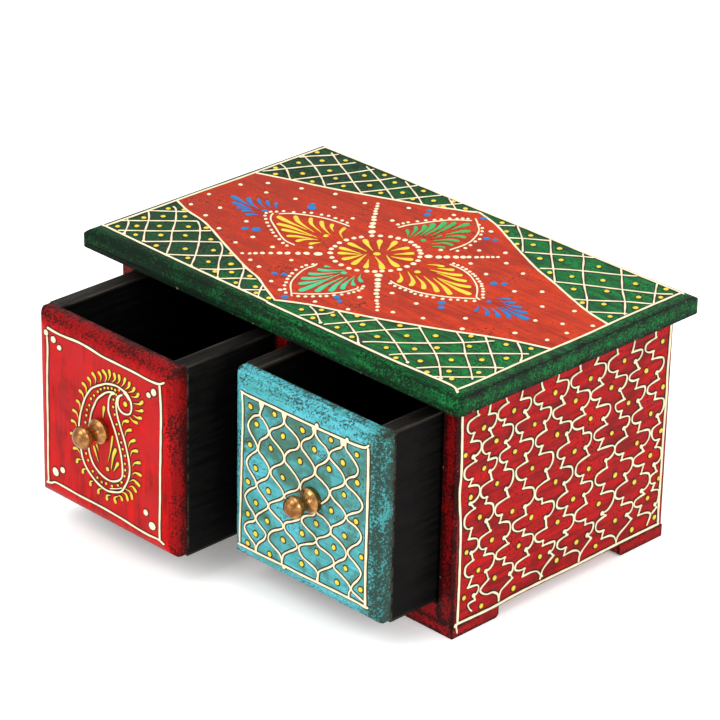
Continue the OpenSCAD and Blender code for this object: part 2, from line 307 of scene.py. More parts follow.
class Nodes:
    """Builds one node material."""

    def __init__(self, name):
        self.material = bpy.data.materials.new(name)
        self.material.use_nodes = True
        self.tree = self.material.node_tree
        self.tree.nodes.clear()
        self.shader = self.add("ShaderNodeBsdfPrincipled")
        out = self.add("ShaderNodeOutputMaterial")
        self.tree.links.new(self.shader.outputs[0], out.inputs["Surface"])
        self.place = self.add("ShaderNodeTexCoord").outputs["Object"]

    def add(self, kind, **values):
        node = self.tree.nodes.new(kind)
        for key, value in values.items():
            setattr(node, key, value)
        return node

    def put(self, socket, value):
        if isinstance(value, bpy.types.NodeSocket):
            self.tree.links.new(value, socket)
        else:
            socket.default_value = value

    def math(self, operation, *values):
        node = self.add("ShaderNodeMath", operation=operation)
        for socket, value in zip(node.inputs, values):
            self.put(socket, value)
        return node.outputs[0]

    def plus(self, a, b):
        return self.math("ADD", a, b)

    def minus(self, a, b):
        return self.math("SUBTRACT", a, b)

    def times(self, a, b):
        return self.math("MULTIPLY", a, b)

    def vector(self, operation, *values):
        node = self.add("ShaderNodeVectorMath", operation=operation)
        for socket, value in zip(node.inputs, values):
            self.put(socket, value)
        return node.outputs[0]

    def stretch(self, factors):
        """The place in millimetres, times factors along X, Y and Z."""
        return self.vector("MULTIPLY", self.place, [PER_MM * f for f in factors])

    def split(self, vector):
        node = self.add("ShaderNodeSeparateXYZ")
        self.put(node.inputs[0], vector)
        return node.outputs

    def noise(self, factors, scale, detail, rough, twist=0.0):
        node = self.add("ShaderNodeTexNoise")
        self.put(node.inputs["Vector"], self.stretch(factors))
        self.put(node.inputs["Scale"], scale)
        self.put(node.inputs["Detail"], detail)
        self.put(node.inputs["Roughness"], rough)
        self.put(node.inputs["Distortion"], twist)
        return node.outputs[0]

    def step(self, value, low, high, bottom=0.0, top=1.0):
        """Smooth step of value from bottom at low to top at high."""
        node = self.add("ShaderNodeMapRange", interpolation_type="SMOOTHSTEP")
        for socket, number in zip(node.inputs, (value, low, high, bottom, top)):
            self.put(socket, number)
        return node.outputs[0]

    def mix(self, factor, a, b):
        """Colour a where factor is 0 and b where it is 1."""
        node = self.add("ShaderNodeMix", data_type="RGBA")
        self.put(node.inputs[0], factor)
        self.put(node.inputs[6], a)
        self.put(node.inputs[7], b)
        return node.outputs[2]

    def edge_distance(self, corners):
        """Distance in millimetres to the nearest edge of a board with these two corners."""
        low, high = corners
        middle = [(a + b) / 2 for a, b in zip(low, high)]
        half = [(b - a) / 2 for a, b in zip(low, high)]
        away = self.vector("ABSOLUTE", self.vector("SUBTRACT", self.place, middle))
        left = self.vector("MULTIPLY", self.vector("SUBTRACT", half, away), [PER_MM] * 3)
        x, y, z = self.split(left)
        small, large = self.math("MINIMUM", x, y), self.math("MAXIMUM", x, y)
        return self.math("MAXIMUM", small, self.math("MINIMUM", large, z))

    def beyond(self, middle, half):
        """How far, in millimetres, a place lies outside a rectangle across X and Z."""
        away = self.vector("ABSOLUTE", self.vector("SUBTRACT", self.place, middle))
        x, _, z = self.split(self.vector("MULTIPLY", away, [PER_MM] * 3))
        return self.math("MAXIMUM", self.minus(x, half[0]), self.minus(z, half[1]))

    def bump(self, height, strength, distance=0.0004):
        node = self.add("ShaderNodeBump")
        self.put(node.inputs["Strength"], strength)
        self.put(node.inputs["Distance"], distance)
        self.put(node.inputs["Height"], height)
        self.tree.links.new(node.outputs[0], self.shader.inputs["Normal"])

    def finish(self, color, rough, metallic=0.0, specular=0.5):
        self.put(self.shader.inputs["Base Color"], color)
        self.put(self.shader.inputs["Roughness"], rough)
        self.shader.inputs["Metallic"].default_value = metallic
        self.shader.inputs["Specular IOR Level"].default_value = specular
        return self.material


# How fast a noise changes along X, Y and Z: slowly along the grain, or alike along all three.
ALONG = {"x": (0.08, 1.0, 1.0), "y": (1.0, 0.08, 1.0), "z": (1.0, 1.0, 0.08)}
EVEN = (1, 1, 1)
PAINT_ROUGH = 0.46
ORNAMENT_ROUGH = 0.42
BRASS_LIGHT, BRASS_DARK = rgb(196, 146, 88), rgb(132, 86, 48)
# Dark specks, and the painted shade and dark reflection that darken a knob towards its axis.
BRASS_SPECK, BRASS_PAINTED_SHADE = rgb(80, 48, 28), rgb(90, 52, 28)
# The wave of the fine marks of turning, in radians along each millimetre of a knob.
TURNING_MARKS = 9.0


def glaze_panel(m, color, grime_and_shade, middle, half, tint, strength, clean):
    """Antique glaze inside a painted panel, darker towards the top. Clean takes away stipple."""
    within = m.step(m.beyond(middle, half), 1.2, -0.6)
    lift = m.step(m.split(m.place)[2], middle[2] - 0.02, middle[2] + 0.03, -0.05, 0.07)
    soak = m.step(m.minus(m.noise(EVEN, 0.075, 5.0, 0.62, 0.8), lift), 0.36, 0.6, 1.0, 0.12)
    color = m.mix(m.times(within, m.times(soak, strength)), color, tint)
    return color, m.minus(grime_and_shade, m.times(within, clean))


def shade_along(m, color, grime_and_shade, deep, axis, start, stop, strength):
    """Deeper and blacker colour, with more black stipple, that fades from start to stop along an axis, in
    metres.
    """
    # Some boards take this as painted shade: the case's front edges and the left drawer front's top.
    dark = m.step(m.split(m.place)[axis], start, stop, strength, 0.0)
    grime_and_shade = m.plus(grime_and_shade, m.times(dark, 0.07))
    return m.mix(m.times(dark, 0.75), color, deep), grime_and_shade


def worn_specks(m, color, worn, along, fine, grime_and_shade, patchy, pores):
    """Worn patches by patchy, dark pores along the grain by pores, and black stipple denser with dirt and
    painted shade.
    """
    patches = m.noise(along, 0.12, 6.0, 0.7, 0.4)
    color = m.mix(m.step(patches, 0.58 - 0.1 * patchy, 0.74, 0.0, patchy), color, worn)
    color = m.mix(m.step(fine, 0.6, 0.7, 0.0, pores), color, worn)
    speckle = m.plus(m.noise(EVEN, 1.05, 5.0, 0.8), grime_and_shade)
    return m.mix(m.step(speckle, 0.555, 0.645, 0.0, 0.9), color, worn)


def rubbed_edges(m, color, edge, worn, bare, along, wear):
    """Edges rubbed to worn, farther in with more wear, and chipped to bare. Also says how rubbed."""
    rag = m.noise(along, 0.22, 7.0, 0.72, 0.8)
    reach = m.plus(m.times(m.step(rag, 0.42, 0.75), wear * 1.6), 0.2)
    rubbed = m.minus(1.0, m.step(m.math("DIVIDE", edge, reach), 0.35, 1.0))
    color = m.mix(m.times(rubbed, 0.85), color, worn)
    chip = m.times(m.step(m.noise(EVEN, 0.5, 6.0, 0.7), 0.63, 0.68),
                   m.minus(1.0, m.step(edge, 0.4, 1.0)))
    return m.mix(chip, color, bare), rubbed


def painted_wood(name, corners, grain, paint, deep, worn, bare, wear, patchy, pores, stipple,
                 shades=(), wash=None, inside=None):
    """Brushed paint on a board: lighter and deeper strokes, black stipple, edges rubbed to worn and bare.

    Each of shades is (axis, start, stop, strength) for shade_along.
    wash is (middle, half, tint, strength, clean) for glaze_panel.
    inside is the stain on the face turned to +Y, if that face has its own."""
    m = Nodes(name)
    along = ALONG[grain]
    streak = m.noise(along, 0.55, 6.0, 0.65)
    cloud = m.noise(EVEN, 0.055, 5.0, 0.6, 0.6)
    fine = m.noise(along, 2.3, 3.0, 0.7)
    tone = m.plus(m.times(streak, 0.55), m.times(cloud, 0.45))
    color = m.mix(m.step(tone, 0.38, 0.62), deep, paint)
    edge = m.edge_distance(corners)
    grime_and_shade = m.plus(m.times(m.minus(cloud, 0.5), 0.5), stipple)
    grime_and_shade = m.plus(grime_and_shade, m.step(edge, 0.0, wear * 2.6, 0.13, 0.0))
    if wash:
        color, grime_and_shade = glaze_panel(m, color, grime_and_shade, *wash)
    for shade in shades:
        color, grime_and_shade = shade_along(m, color, grime_and_shade, deep, *shade)
    color = worn_specks(m, color, worn, along, fine, grime_and_shade, patchy, pores)
    color, rubbed = rubbed_edges(m, color, edge, worn, bare, along, wear)
    if inside:
        rear = m.split(m.add("ShaderNodeNewGeometry").outputs["Normal"])[1]
        color = m.mix(m.step(rear, 0.9, 0.97), color, inside)
    gloss = m.step(m.plus(streak, m.times(rubbed, 0.25)), 0.3, 0.9,
                   PAINT_ROUGH - 0.08, PAINT_ROUGH + 0.2)
    relief = m.plus(m.times(fine, 0.6), m.times(streak, 0.8))
    m.bump(m.minus(relief, m.times(rubbed, 0.3)), 0.3)
    return m.finish(color, gloss, specular=0.07)


def raised_paint(name, paint, grime_and_shade):
    """Thick satin paint: dark residue and painted shade on its skirt and low sides, slight unevenness on
    its back.
    """
    m = Nodes(name)
    height = m.add("ShaderNodeAttribute", attribute_name="lift").outputs["Fac"]
    tone = m.noise(EVEN, 0.35, 4.0, 0.6)
    color = m.mix(m.step(tone, 0.35, 0.75), paint, [0.86 * c for c in paint[:3]] + [1.0])
    speck = m.step(m.noise(EVEN, 2.0, 3.0, 0.6), 0.66, 0.76, 0.0, 0.4)
    color = m.mix(speck, color, grime_and_shade)
    # Dark residue and painted shade darken the skirt and the bead's low sides.
    color = m.mix(m.step(height, 0.06, 0.26, 1.0, 0.0), color, grime_and_shade)
    m.bump(tone, 0.2, 0.0002)
    gloss = m.step(tone, 0.3, 0.8, ORNAMENT_ROUGH, ORNAMENT_ROUGH + 0.16)
    return m.finish(color, gloss, specular=0.2)


def aged_brass(name, axis_point):
    """Turned brass browned with age, with painted shade and dark reflection towards its axis, lighter on
    its widest rounds.
    """
    m = Nodes(name)
    x, y, z = m.split(m.vector("SUBTRACT", m.place, axis_point))
    radius = m.times(m.math("SQRT", m.plus(m.times(x, x), m.times(z, z))), PER_MM)
    cloud = m.noise(EVEN, 0.3, 4.0, 0.6, 0.3)
    fine = m.noise(EVEN, 2.2, 4.0, 0.6)
    color = m.mix(m.step(cloud, 0.34, 0.7), BRASS_DARK, BRASS_LIGHT)
    color = m.mix(m.step(fine, 0.55, 0.75, 0.0, 0.4), color, BRASS_SPECK)
    # Painted shade and dark reflection: darker near the axis, in the waist, inner flare and middle of the
    # face.
    color = m.mix(m.step(radius, 2.5, 4.4, 0.5, 0.0), color, BRASS_PAINTED_SHADE)
    rings = m.math("SINE", m.times(y, TURNING_MARKS * PER_MM))
    m.bump(m.plus(m.times(rings, 0.3), m.times(fine, 0.4)), 0.2, 0.0002)
    return m.finish(color, m.step(cloud, 0.3, 0.7, 0.34, 0.22), metallic=1.0)


def stained_wood(name, corners, grain, rub):
    """Thin black stain: grain shows through, and the top edge is rubbed to grey by rub."""
    m = Nodes(name)
    along = ALONG[grain]
    streak = m.noise(along, 0.5, 6.0, 0.7)
    cloud = m.noise(EVEN, 0.09, 4.0, 0.6)
    color = m.mix(m.step(streak, 0.35, 0.75), rgb(2, 2, 2), rgb(15, 14, 13))
    color = m.mix(m.step(cloud, 0.5, 0.75, 0.0, 0.5), color, rgb(20, 16, 14))
    rag = m.noise(along, 0.3, 6.0, 0.7)
    near = m.minus(1.0, m.step(m.edge_distance(corners), 0.2, 1.3))
    color = m.mix(m.times(near, m.step(rag, 0.38, 0.66, 0.0, 0.7)), color, rgb(70, 63, 55))
    up = m.step(m.split(m.add("ShaderNodeNewGeometry").outputs["Normal"])[2], 0.6, 0.95)
    crown = corners[1][2] * PER_MM
    high = m.step(m.times(m.split(m.place)[2], PER_MM), crown - 1.0, crown - 0.2)
    top = m.times(m.times(up, high), m.step(rag, 0.34, 0.68, 0.15 * rub, rub))
    color = m.mix(top, color, rgb(62, 58, 53))
    m.bump(streak, 0.4)
    return m.finish(color, m.step(streak, 0.3, 0.8, 0.55, 0.75), specular=0.06)


def zinc_steel(name):
    """Bright zinc plate with a faint brushed grain."""
    m = Nodes(name)
    grain = m.noise((1, 0.1, 1), 3.0, 4.0, 0.6)
    color = m.mix(grain, rgb(150, 152, 156), rgb(196, 197, 200))
    m.bump(grain, 0.15, 0.0001)
    return m.finish(color, m.step(grain, 0.3, 0.7, 0.28, 0.42), metallic=1.0)


FLOOR_GLOW = 0.2
FLOOR_HALF = 4.0


def floor_paint(name):
    """Plain pale studio floor that glows a little, like a light table."""
    m = Nodes(name)
    tone = m.noise(EVEN, 0.01, 2.0, 0.5)
    color = m.mix(tone, rgb(251, 251, 250), rgb(254, 254, 253))
    m.shader.inputs["Emission Color"].default_value = WHITE
    m.shader.inputs["Emission Strength"].default_value = FLOOR_GLOW
    return m.finish(color, 0.6, specular=0.1)


def dress(node, material):
    """Gives a CAD node its material."""
    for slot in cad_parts[node].material_slots:
        slot.material = material


# The photo's camera. It stands CAMERA_AHEAD in front of the case's front edges. Places and distances
# are in metres, the lens and its sensor in millimetres, and the shift in widths of the picture.
CAMERA_X, CAMERA_AHEAD, CAMERA_Z = 0.8551, 0.8222, 0.6559
YAW, PITCH, ROLL = (math.radians(angle) for angle in (44.607, -25.736, 1.220))
LENS, SENSOR = 177.13, 36.0
SHIFT = (-0.01018, -0.00692)
NEAREST, FARTHEST = 0.05, 20.0

# Area lights: name, place, target and side in metres, and power in watts.
LIGHTS = (
    ("key", (-0.35, -1.3, 1.5), (0.0, 0.0, 0.05), 0.9, 14),
    ("side", (1.5, -0.2, 0.8), (0.0, 0.0, 0.05), 0.8, 11),
    ("top", (0.1, 0.3, 1.7), (0.0, 0.0, 0.05), 1.0, 7),
    ("low_fill", (-0.5, -1.5, 0.22), (0.0, -0.1, 0.0), 0.8, 5),
)


def add_camera():
    forward = Vector((-math.sin(YAW) * math.cos(PITCH), math.cos(YAW) * math.cos(PITCH),
                      math.sin(PITCH)))
    level = Vector((math.cos(YAW), math.sin(YAW), 0.0))
    up = level.cross(forward)
    right = math.cos(ROLL) * level + math.sin(ROLL) * up
    top = -math.sin(ROLL) * level + math.cos(ROLL) * up
    data = bpy.data.cameras.new("camera")
    data.lens, data.sensor_width = LENS, SENSOR
    data.shift_x, data.shift_y = SHIFT
    data.clip_start, data.clip_end = NEAREST, FARTHEST
    camera = bpy.data.objects.new("camera", data)
    turned = Matrix((right, top, -forward)).transposed().to_4x4()
    place = (CAMERA_X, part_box("right_side_panel")[0][1] - CAMERA_AHEAD, CAMERA_Z)
    camera.matrix_world = Matrix.Translation(place) @ turned
    bpy.context.scene.collection.objects.link(camera)
    bpy.context.scene.camera = camera


def add_light(name, place, target, side, power):
    data = bpy.data.lights.new(name, "AREA")
    data.shape, data.size, data.energy = "SQUARE", side, power
    light = bpy.data.objects.new(name, data)
    light.location = place
    aim = Vector(target) - Vector(place)
    light.rotation_euler = aim.to_track_quat("-Z", "Y").to_euler()
    bpy.context.scene.collection.objects.link(light)


def add_floor():
    half = FLOOR_HALF
    mesh = bpy.data.meshes.new("floor")
    mesh.from_pydata([(-half, -half, 0), (half, -half, 0), (half, half, 0), (-half, half, 0)],
                     [], [(0, 1, 2, 3)])
    floor = bpy.data.objects.new("floor", mesh)
    mesh.materials.append(floor_paint("pale_floor"))
    bpy.context.scene.collection.objects.link(floor)


def add_studio():
    """White light from all sides, four area lights and the floor."""
    scene = bpy.context.scene
    scene.view_settings.view_transform = "Standard"
    world = bpy.data.worlds.new("studio")
    world.use_nodes = True
    background = world.node_tree.nodes["Background"]
    background.inputs["Color"].default_value = WHITE
    background.inputs["Strength"].default_value = 1.0
    scene.world = world
    for light in LIGHTS:
        add_light(*light)
    add_floor()


# Ornament of the top board, u to the right and v to the back from the board's middle, in millimetres.
# Widths of its lines and radii of its dots come first. Then each list holds strokes, as lists of
# points, or dots, as places.
BORDER_LINE, NET_LINE, LEAF_LINE = 1.0, 0.74, 0.76
NET_DOT, NET_END, RING_DOT, CORNER_DOT, BEAD, LOOSE_DOT = 1.1, 0.78, 1.15, 1.7, 0.8, 0.98
LEAF_EYE = 1.25
ROSETTE_EYE = (-6, 1.2, 1.6)
# The dots of each diagonal row shrink from the first radius to the second.
ROW_DOTS = (1.4, 0.8)
# Net lines that end in front of this v have a blob of paint at their end.
NET_END_V = -55
# The red field reaches no farther left than this u, under the cream frame line.
FIELD_LEFT = -95.4
FIELD_THICK = 0.1

TOP_FIELD = (
    [(-95.6, -20.3), (-90, -22.4), (-84.1, -24.4), (-73.5, -26.5), (-64.7, -29.7), (-55.3, -33.8),
     (-41.2, -39.7), (-29.4, -44.4), (-20.6, -47.1), (-11.8, -51.5), (-1.4, -56.4)],
    [(-1.4, -56.2), (0, -54.9), (10, -49.4), (20, -45.6), (34.7, -39.7), (50, -32.6), (62.4, -26.5),
     (72.4, -21.2), (83.2, -16.2), (95.9, -11.7)],
    [(-94.7, 21.4), (-79.4, 27), (-65.3, 31.7), (-50.6, 37.6), (-38.2, 42.9), (-24.7, 48.8),
     (-15.9, 53.5), (-10.6, 56.1), (-7.3, 58.7)],
    [(-7.3, 58.7), (-5, 58.2), (6.2, 54.6), (17.9, 48.8), (30.3, 42.6), (45, 35.8), (57.4, 31.4),
     (70.9, 26.1), (83.2, 21.7), (95, 19.1), (95.9, 18.4)],
)
TOP_FRAME = (
    [(-95.3, 61), (-95.5, 40), (-95.1, 15), (-95.4, -12), (-95.2, -40), (-95.3, -57.9)],
    [(-96.2, -57.4), (-95, -57.6), (-60, -58.5), (-30, -58.9), (-5, -59), (0, -59.7), (30, -59.9),
     (60, -60.2), (80, -59.6), (92, -59.5), (97, -61.6)],
    [(95.6, 61), (95.4, 30), (95.9, 5), (95.5, -25), (95.8, -50), (95.4, -60.6)],
    [(-95.3, 60.8), (-60, 61), (-20, 60.7), (20, 60.8), (55, 60.2), (97, 60)],
)
TOP_NET = (
    [(-95.3, -46.5), (-92, -48.5), (-88, -53), (-85, -57)],
    [(-94.9, -35.6), (-88.8, -40.9), (-81.2, -49.7), (-74.7, -56.2)],
    [(-91.8, -25.6), (-88.8, -26.8), (-80.6, -34.4), (-73.5, -42.6), (-67, -49.1), (-62.5, -54.5),
     (-59.4, -58.4)],
    [(-74.7, -28.2), (-69.4, -31.8), (-60, -40.9), (-51.2, -50.9), (-45.6, -58.2)],
    [(-54.1, -35.3), (-48.8, -39.1), (-41.2, -47.9), (-36.5, -52.6), (-30.9, -58.2)],
    [(-34.1, -42.4), (-29.4, -46.2), (-24.1, -52.6), (-19.4, -58.2)],
    [(-14.7, -50.3), (-11.8, -54.4), (-8.2, -58.8)],
    [(-95.3, -35.6), (-84.1, -25)],
    [(-95, -49.7), (-84.6, -38.6), (-74.7, -28.2)],
    [(-88.8, -56.8), (-76.2, -43.9), (-64.4, -30.5)],
    [(-74.1, -56.5), (-64.4, -45.6), (-54.1, -35.3)],
    [(-60, -58.7), (-50.2, -49.6), (-41.2, -39.8)],
    [(-41.2, -58), (-34.8, -51.5), (-29.4, -44.4)],
    [(-30, -58.7), (-25.3, -53.1), (-20, -48.3)],
    [(-17, -59.2), (-10.6, -52.4)],
    [(10.6, -50.3), (15.3, -52.1), (20, -55), (23.5, -57.4)],
    [(20.6, -45.6), (30, -50), (37.6, -53.8), (41.2, -55.9), (45, -59.4)],
    [(34.1, -40), (44.7, -44.7), (54.1, -49.4), (61.8, -53.8), (68.2, -57.6)],
    [(50, -33.2), (61.2, -40), (70.6, -45.6), (78.8, -52.1), (85.3, -58.2)],
    [(62.4, -26.5), (70, -30.9), (77.6, -37.6), (87.1, -45), (93.5, -50.6)],
    [(72.1, -21.5), (75.9, -24.4), (84.1, -30.9), (91.8, -37.1), (95.3, -40.9)],
    [(83.2, -16.5), (88.2, -20), (92.4, -23.8), (95.3, -27.9)],
    [(13.8, -58.8), (17.6, -53.2), (19.7, -50), (20.3, -47.1)],
    [(25.3, -57.6), (28.8, -51.8), (32.4, -45.6), (35.9, -40.3)],
    [(35.3, -58.2), (40, -50.6), (44.7, -43.2), (51.2, -34.4)],
    [(45.3, -57.6), (48.8, -53.8), (54.7, -48.5), (62.9, -40), (70.6, -30.9), (77.1, -21.8)],
    [(59.4, -58.2), (62.4, -53.8), (70, -45), (78.2, -36.2), (85.3, -28.5), (92.9, -20.6)],
    [(73.5, -58.8), (78.2, -52.4), (85.3, -45), (90.6, -39.4), (94.7, -35.6)],
    [(82.4, -59.3), (87.1, -54.7), (91.8, -49.7), (95.3, -45.6)],
    [(-95.3, 48.2), (-84.1, 43.5), (-74.7, 38.2), (-65.3, 31.7)],
    [(-95, 35.2), (-89.4, 33.2), (-80.6, 27)],
    [(-89.4, 58.5), (-78.2, 52.3), (-69.4, 47.9), (-60.6, 42.9), (-50.6, 37.6)],
    [(-69.7, 58.8), (-65.3, 57), (-56.5, 52.9), (-47.6, 48.2), (-38.2, 42.9)],
    [(-48.2, 59.4), (-43.5, 57), (-33.5, 51.7), (-27.1, 47.6)],
    [(-24.7, 59.9), (-18.8, 56.4), (-14.7, 53.8)],
    [(-94.1, 24.4), (-90, 32.6), (-84.1, 43.8), (-78.2, 52.3), (-75.3, 58.5)],
    [(-94.7, 45.5), (-92.4, 49.6), (-87.4, 56.7), (-86.2, 59.6)],
    [(-79.7, 27.6), (-75.3, 36.7), (-70, 47.3), (-65.3, 59.1)],
    [(-67.1, 34.1), (-63.5, 40.8), (-56.5, 52), (-53.5, 59.4)],
    [(-52.4, 38.5), (-47.6, 47.9), (-43.5, 56.7), (-42.1, 60.2)],
    [(-38.2, 42.9), (-33.5, 51.4), (-28.8, 60.2)],
    [(-24.1, 49.6), (-20.6, 54.9), (-17.6, 60.2)],
    [(11.8, 60.3), (21.5, 52.6), (30.3, 43.5)],
    [(29.1, 60.3), (35.6, 53.5), (39.1, 49.9), (47.9, 41.4), (57.4, 32)],
    [(46.8, 59.4), (51.5, 54.6), (57.4, 47.6), (66.2, 38.5), (76.2, 29.1), (82.1, 22.3)],
    [(65.9, 59.7), (70.9, 54.4), (79.1, 45.5), (86.8, 38.2), (94.4, 29.4)],
    [(84.1, 59.4), (89.1, 52.6), (95, 44.9)],
    [(6.2, 54.6), (11.5, 59.6)],
    [(17.4, 49.1), (22.6, 53.5), (30.3, 59.1)],
    [(30.9, 43.8), (38.5, 49.6), (47.9, 56.7), (52.4, 59.7)],
    [(45, 37), (49.7, 41.4), (57.4, 47.3), (69.7, 55.2), (74.7, 59.1)],
    [(57.4, 32.6), (66.2, 38.2), (79.1, 45.8), (89.7, 52.3), (94.4, 56.7)],
    [(72.1, 25.8), (76.8, 29.4), (86.8, 38.5), (95, 44.4)],
    [(83.8, 22), (89.1, 26.7), (94.4, 31.1)],
)
TOP_NET_DOTS = (
    (-91.5, -28.4), (-86.5, -24.7), (-81.3, -28.8), (-87.2, -34.9), (-73.2, -34.4), (-67.8, -30),
    (-58.5, -36.2), (-91.3, -41.3), (-81.2, -42.2), (-67.8, -40.9), (-50.3, -42.4), (-43.6, -39.4),
    (-87.1, -48.6), (-74.4, -47.6), (-58.5, -49.4), (-43.8, -51), (-36.5, -46.1), (-91.8, -54.3),
    (-81.1, -54.5), (-68.2, -55.5), (-51.6, -54.3), (-35.6, -55.1), (-30.9, -51), (-23.7, -48.4),
    (-22.9, -56.3), (-15.3, -53.4), (-11.2, -56.9), (-4.7, -56.5),
    (15.9, -49.5), (21.9, -49.5), (10.6, -54.6), (18.7, -56.6), (30.4, -55.7), (35, -47.2),
    (28.4, -43.5), (44.8, -37.8), (52.5, -42.1), (45.8, -50.5), (39.8, -57.4), (59.6, -34.4),
    (62.2, -47.9), (54.5, -54.6), (62.8, -58.1), (68.5, -25.2), (74, -31.8), (66.9, -41.3),
    (77.4, -44.7), (70.5, -53.5), (78.4, -58.2), (81.9, -20.9), (89.8, -29.2), (84.7, -36.6),
    (91.1, -44.9), (83.2, -51.9), (88.2, -55.7), (90.3, -16.8),
    (-93.5, 54.5), (-79.7, 57), (-85.9, 49.8), (-90.7, 41.3), (-76.4, 44.8), (-69.1, 41),
    (-81.6, 34.8), (-73.1, 31.9), (-61.5, 37.9), (-93.1, 30.8), (-88.5, 26.4), (-63.5, 51.6),
    (-58.4, 57.9), (-50.3, 55.5), (-55, 46.1), (-46.6, 43.9), (-41, 50.5), (-36.6, 57.8),
    (-27.1, 53.8), (-33.8, 48.9), (-13.2, 57.4), (-20.5, 52.5), (-21.4, 58.9),
    (5.9, 58), (12.8, 53.1), (21.8, 57.2), (23.7, 47.4), (28.4, 51.4), (37.6, 56.3), (45.2, 48.8),
    (38.8, 43.8), (50.1, 37.1), (59, 54.8), (68.4, 46.6), (58.2, 40.5), (66.3, 32.6), (78.7, 53.3),
    (87.4, 45.2), (75.9, 40.4), (82.8, 31), (76.5, 26), (93.1, 51.1), (92.8, 37.3), (91.5, 24.6),
    (89.6, 58.2),
)

# Drops are (tail, middle, head, width) and grow from a thin tail to a round head.
ROSETTE_DROPS = (
    ((-5.7, 6.3), (-7.4, 10.5), (-9.1, 14.2), 3), ((-8.3, 4.7), (-11.3, 7.7), (-13.9, 10.7), 2.9),
    ((-8.9, 2), (-14.6, 4.7), (-18, 6.8), 2.9), ((-10.2, 0), (-15.4, .2), (-19.8, .3), 3),
    ((-10.2, -3.2), (-15.7, -4.2), (-19.1, -5.1), 2.8),
    ((-9.8, -3.8), (-13.5, -6.7), (-16.1, -8.8), 2.8),
    ((-9.1, -3), (-10, -8.2), (-11.1, -11.4), 3), ((-8.5, -1.9), (-6.5, -8.2), (-5.4, -11.9), 3),
    ((-4.6, -4.7), (-2.4, -7.5), (0, -10.8), 2.7), ((-4.6, -1.2), (1.1, -4), (5, -6.9), 3),
    ((-2.7, 2.9), (2.8, .1), (7.2, -1.2), 3.2), ((-.7, 3.3), (3.3, 4.9), (6.5, 7), 3),
    ((-1.3, 5.5), (1.1, 9), (2.8, 11.4), 2.8), ((-4.3, 7), (-3.3, 10.7), (-2, 13.6), 3),
)
ROSETTE_RING = (
    (-13.8, 16.4), (-10.8, 17.5), (-7.9, 18.3), (-5, 18.6), (-2, 17.6), (.1, 17.2), (2.8, 15.4),
    (5, 13.8), (7, 11.2), (9, 8.2), (9.8, 4.9), (9.9, 1.3), (9.9, -2.7), (8.5, -6), (6.5, -8.6),
    (5, -10.9), (2.7, -12.9), (-.4, -15.1), (-3.7, -16.1), (-7.9, -16), (-11.8, -15.3),
    (-15.1, -13.8), (-18.6, -11.3), (-21, -8.4), (-21.8, -5.6), (-23, -2.1), (-23.1, 1.7),
    (-22.4, 5.1), (-21.2, 7.9), (-19.3, 11.8), (-17, 14.1),
)
ROSETTE_CORNERS = ((-22, 14.5), (8.9, 14), (8.3, -12.3), (-21.1, -15.3))
DOT_ROWS = (
    ((12, 16.4), (14, 18.7), (16.4, 21.2), (18.3, 23.2), (19.7, 24.9), (21.8, 26.9), (23.2, 28.6),
     (24.6, 30.1), (25.9, 31.5), (27.2, 33)),
    ((11, -15.3), (13.3, -17.8), (15.2, -19.6), (17.3, -22.1), (19.4, -24.5), (21.8, -26.3),
     (23.8, -28.8), (25.9, -30.5), (27.9, -32.4), (29.9, -34.6)),
    ((-25.4, 17.9), (-27.4, 20.4), (-29.6, 23.2), (-31.5, 25.1), (-33.4, 27.8), (-35.2, 29.6),
     (-36.6, 31.5), (-38.2, 33.6), (-39.8, 35.5)),
    ((-24.4, -18.2), (-26.6, -20.6), (-29.4, -23.4), (-31.5, -25.6), (-33.7, -28.1), (-35.9, -30.4),
     (-37.5, -32.5), (-38.8, -34.3), (-40.9, -36.2)),
)
# Each leaf has drops that spring from its eye, the edges of its outline, and beads outside them.
LEFT_LEAF = dict(
    drops=(((-25.1, 1.7), (-29.6, 4.9), (-31.5, 8.9), 2), ((-32.1, 3.7), (-35, 5.5), (-37.2, 7.8), 2.2),
           ((-30.6, .5), (-37.9, 3.7), (-41.9, 6.8), 2.3), ((-34.6, -.5), (-42.9, 2.4), (-46.9, 5.8), 2.2),
           ((-36.7, -2.3), (-47.5, .1), (-52.3, 2.8), 2.5),
           ((-40.4, -2.6), (-50.4, -2.7), (-56.5, -2.2), 2.9),
           ((-32.3, -4.9), (-45.8, -5.5), (-51.5, -7), 2.7),
           ((-34.6, -5.5), (-42.1, -7.8), (-46.5, -9.5), 2.5),
           ((-30.4, -6.3), (-37.5, -9.5), (-40.8, -12.2), 2.2),
           ((-31.7, -7.2), (-34.4, -10.1), (-35, -12.8), 2.6),
           ((-27.9, -7.2), (-29, -9), (-29.8, -10.9), 2.4)),
    eye=(-31.2, -1.3),
    edges=([(-31.5, 11.8), (-36.3, 11.4), (-42.1, 10.5), (-47.1, 8.7), (-51.3, 6.6), (-55, 4.3),
            (-57.1, 2), (-58.8, -.1)],
           [(-60.6, -1.3), (-59.4, -3.6), (-56.7, -6.3), (-52.5, -8.8), (-47.1, -11.8), (-42.1, -14.5),
            (-37.9, -16.1), (-32.9, -16.3)]),
    beads=((-34.6, 13.5), (-37.4, 13.5), (-40.8, 13.2), (-44.2, 12.8), (-46.9, 11.6), (-50.8, 9.9),
           (-52.9, 8), (-56, 5.3), (-59.3, 3), (-60.8, .7), (-62.3, -1.1), (-62.6, -3.2), (-61, -5.3),
           (-58.5, -7.3), (-55.6, -9.3), (-52.8, -11.1), (-49.4, -12.9), (-47.1, -14.2), (-44, -15.8),
           (-40.9, -16.8), (-37.4, -18.2), (-34.6, -18.8)))
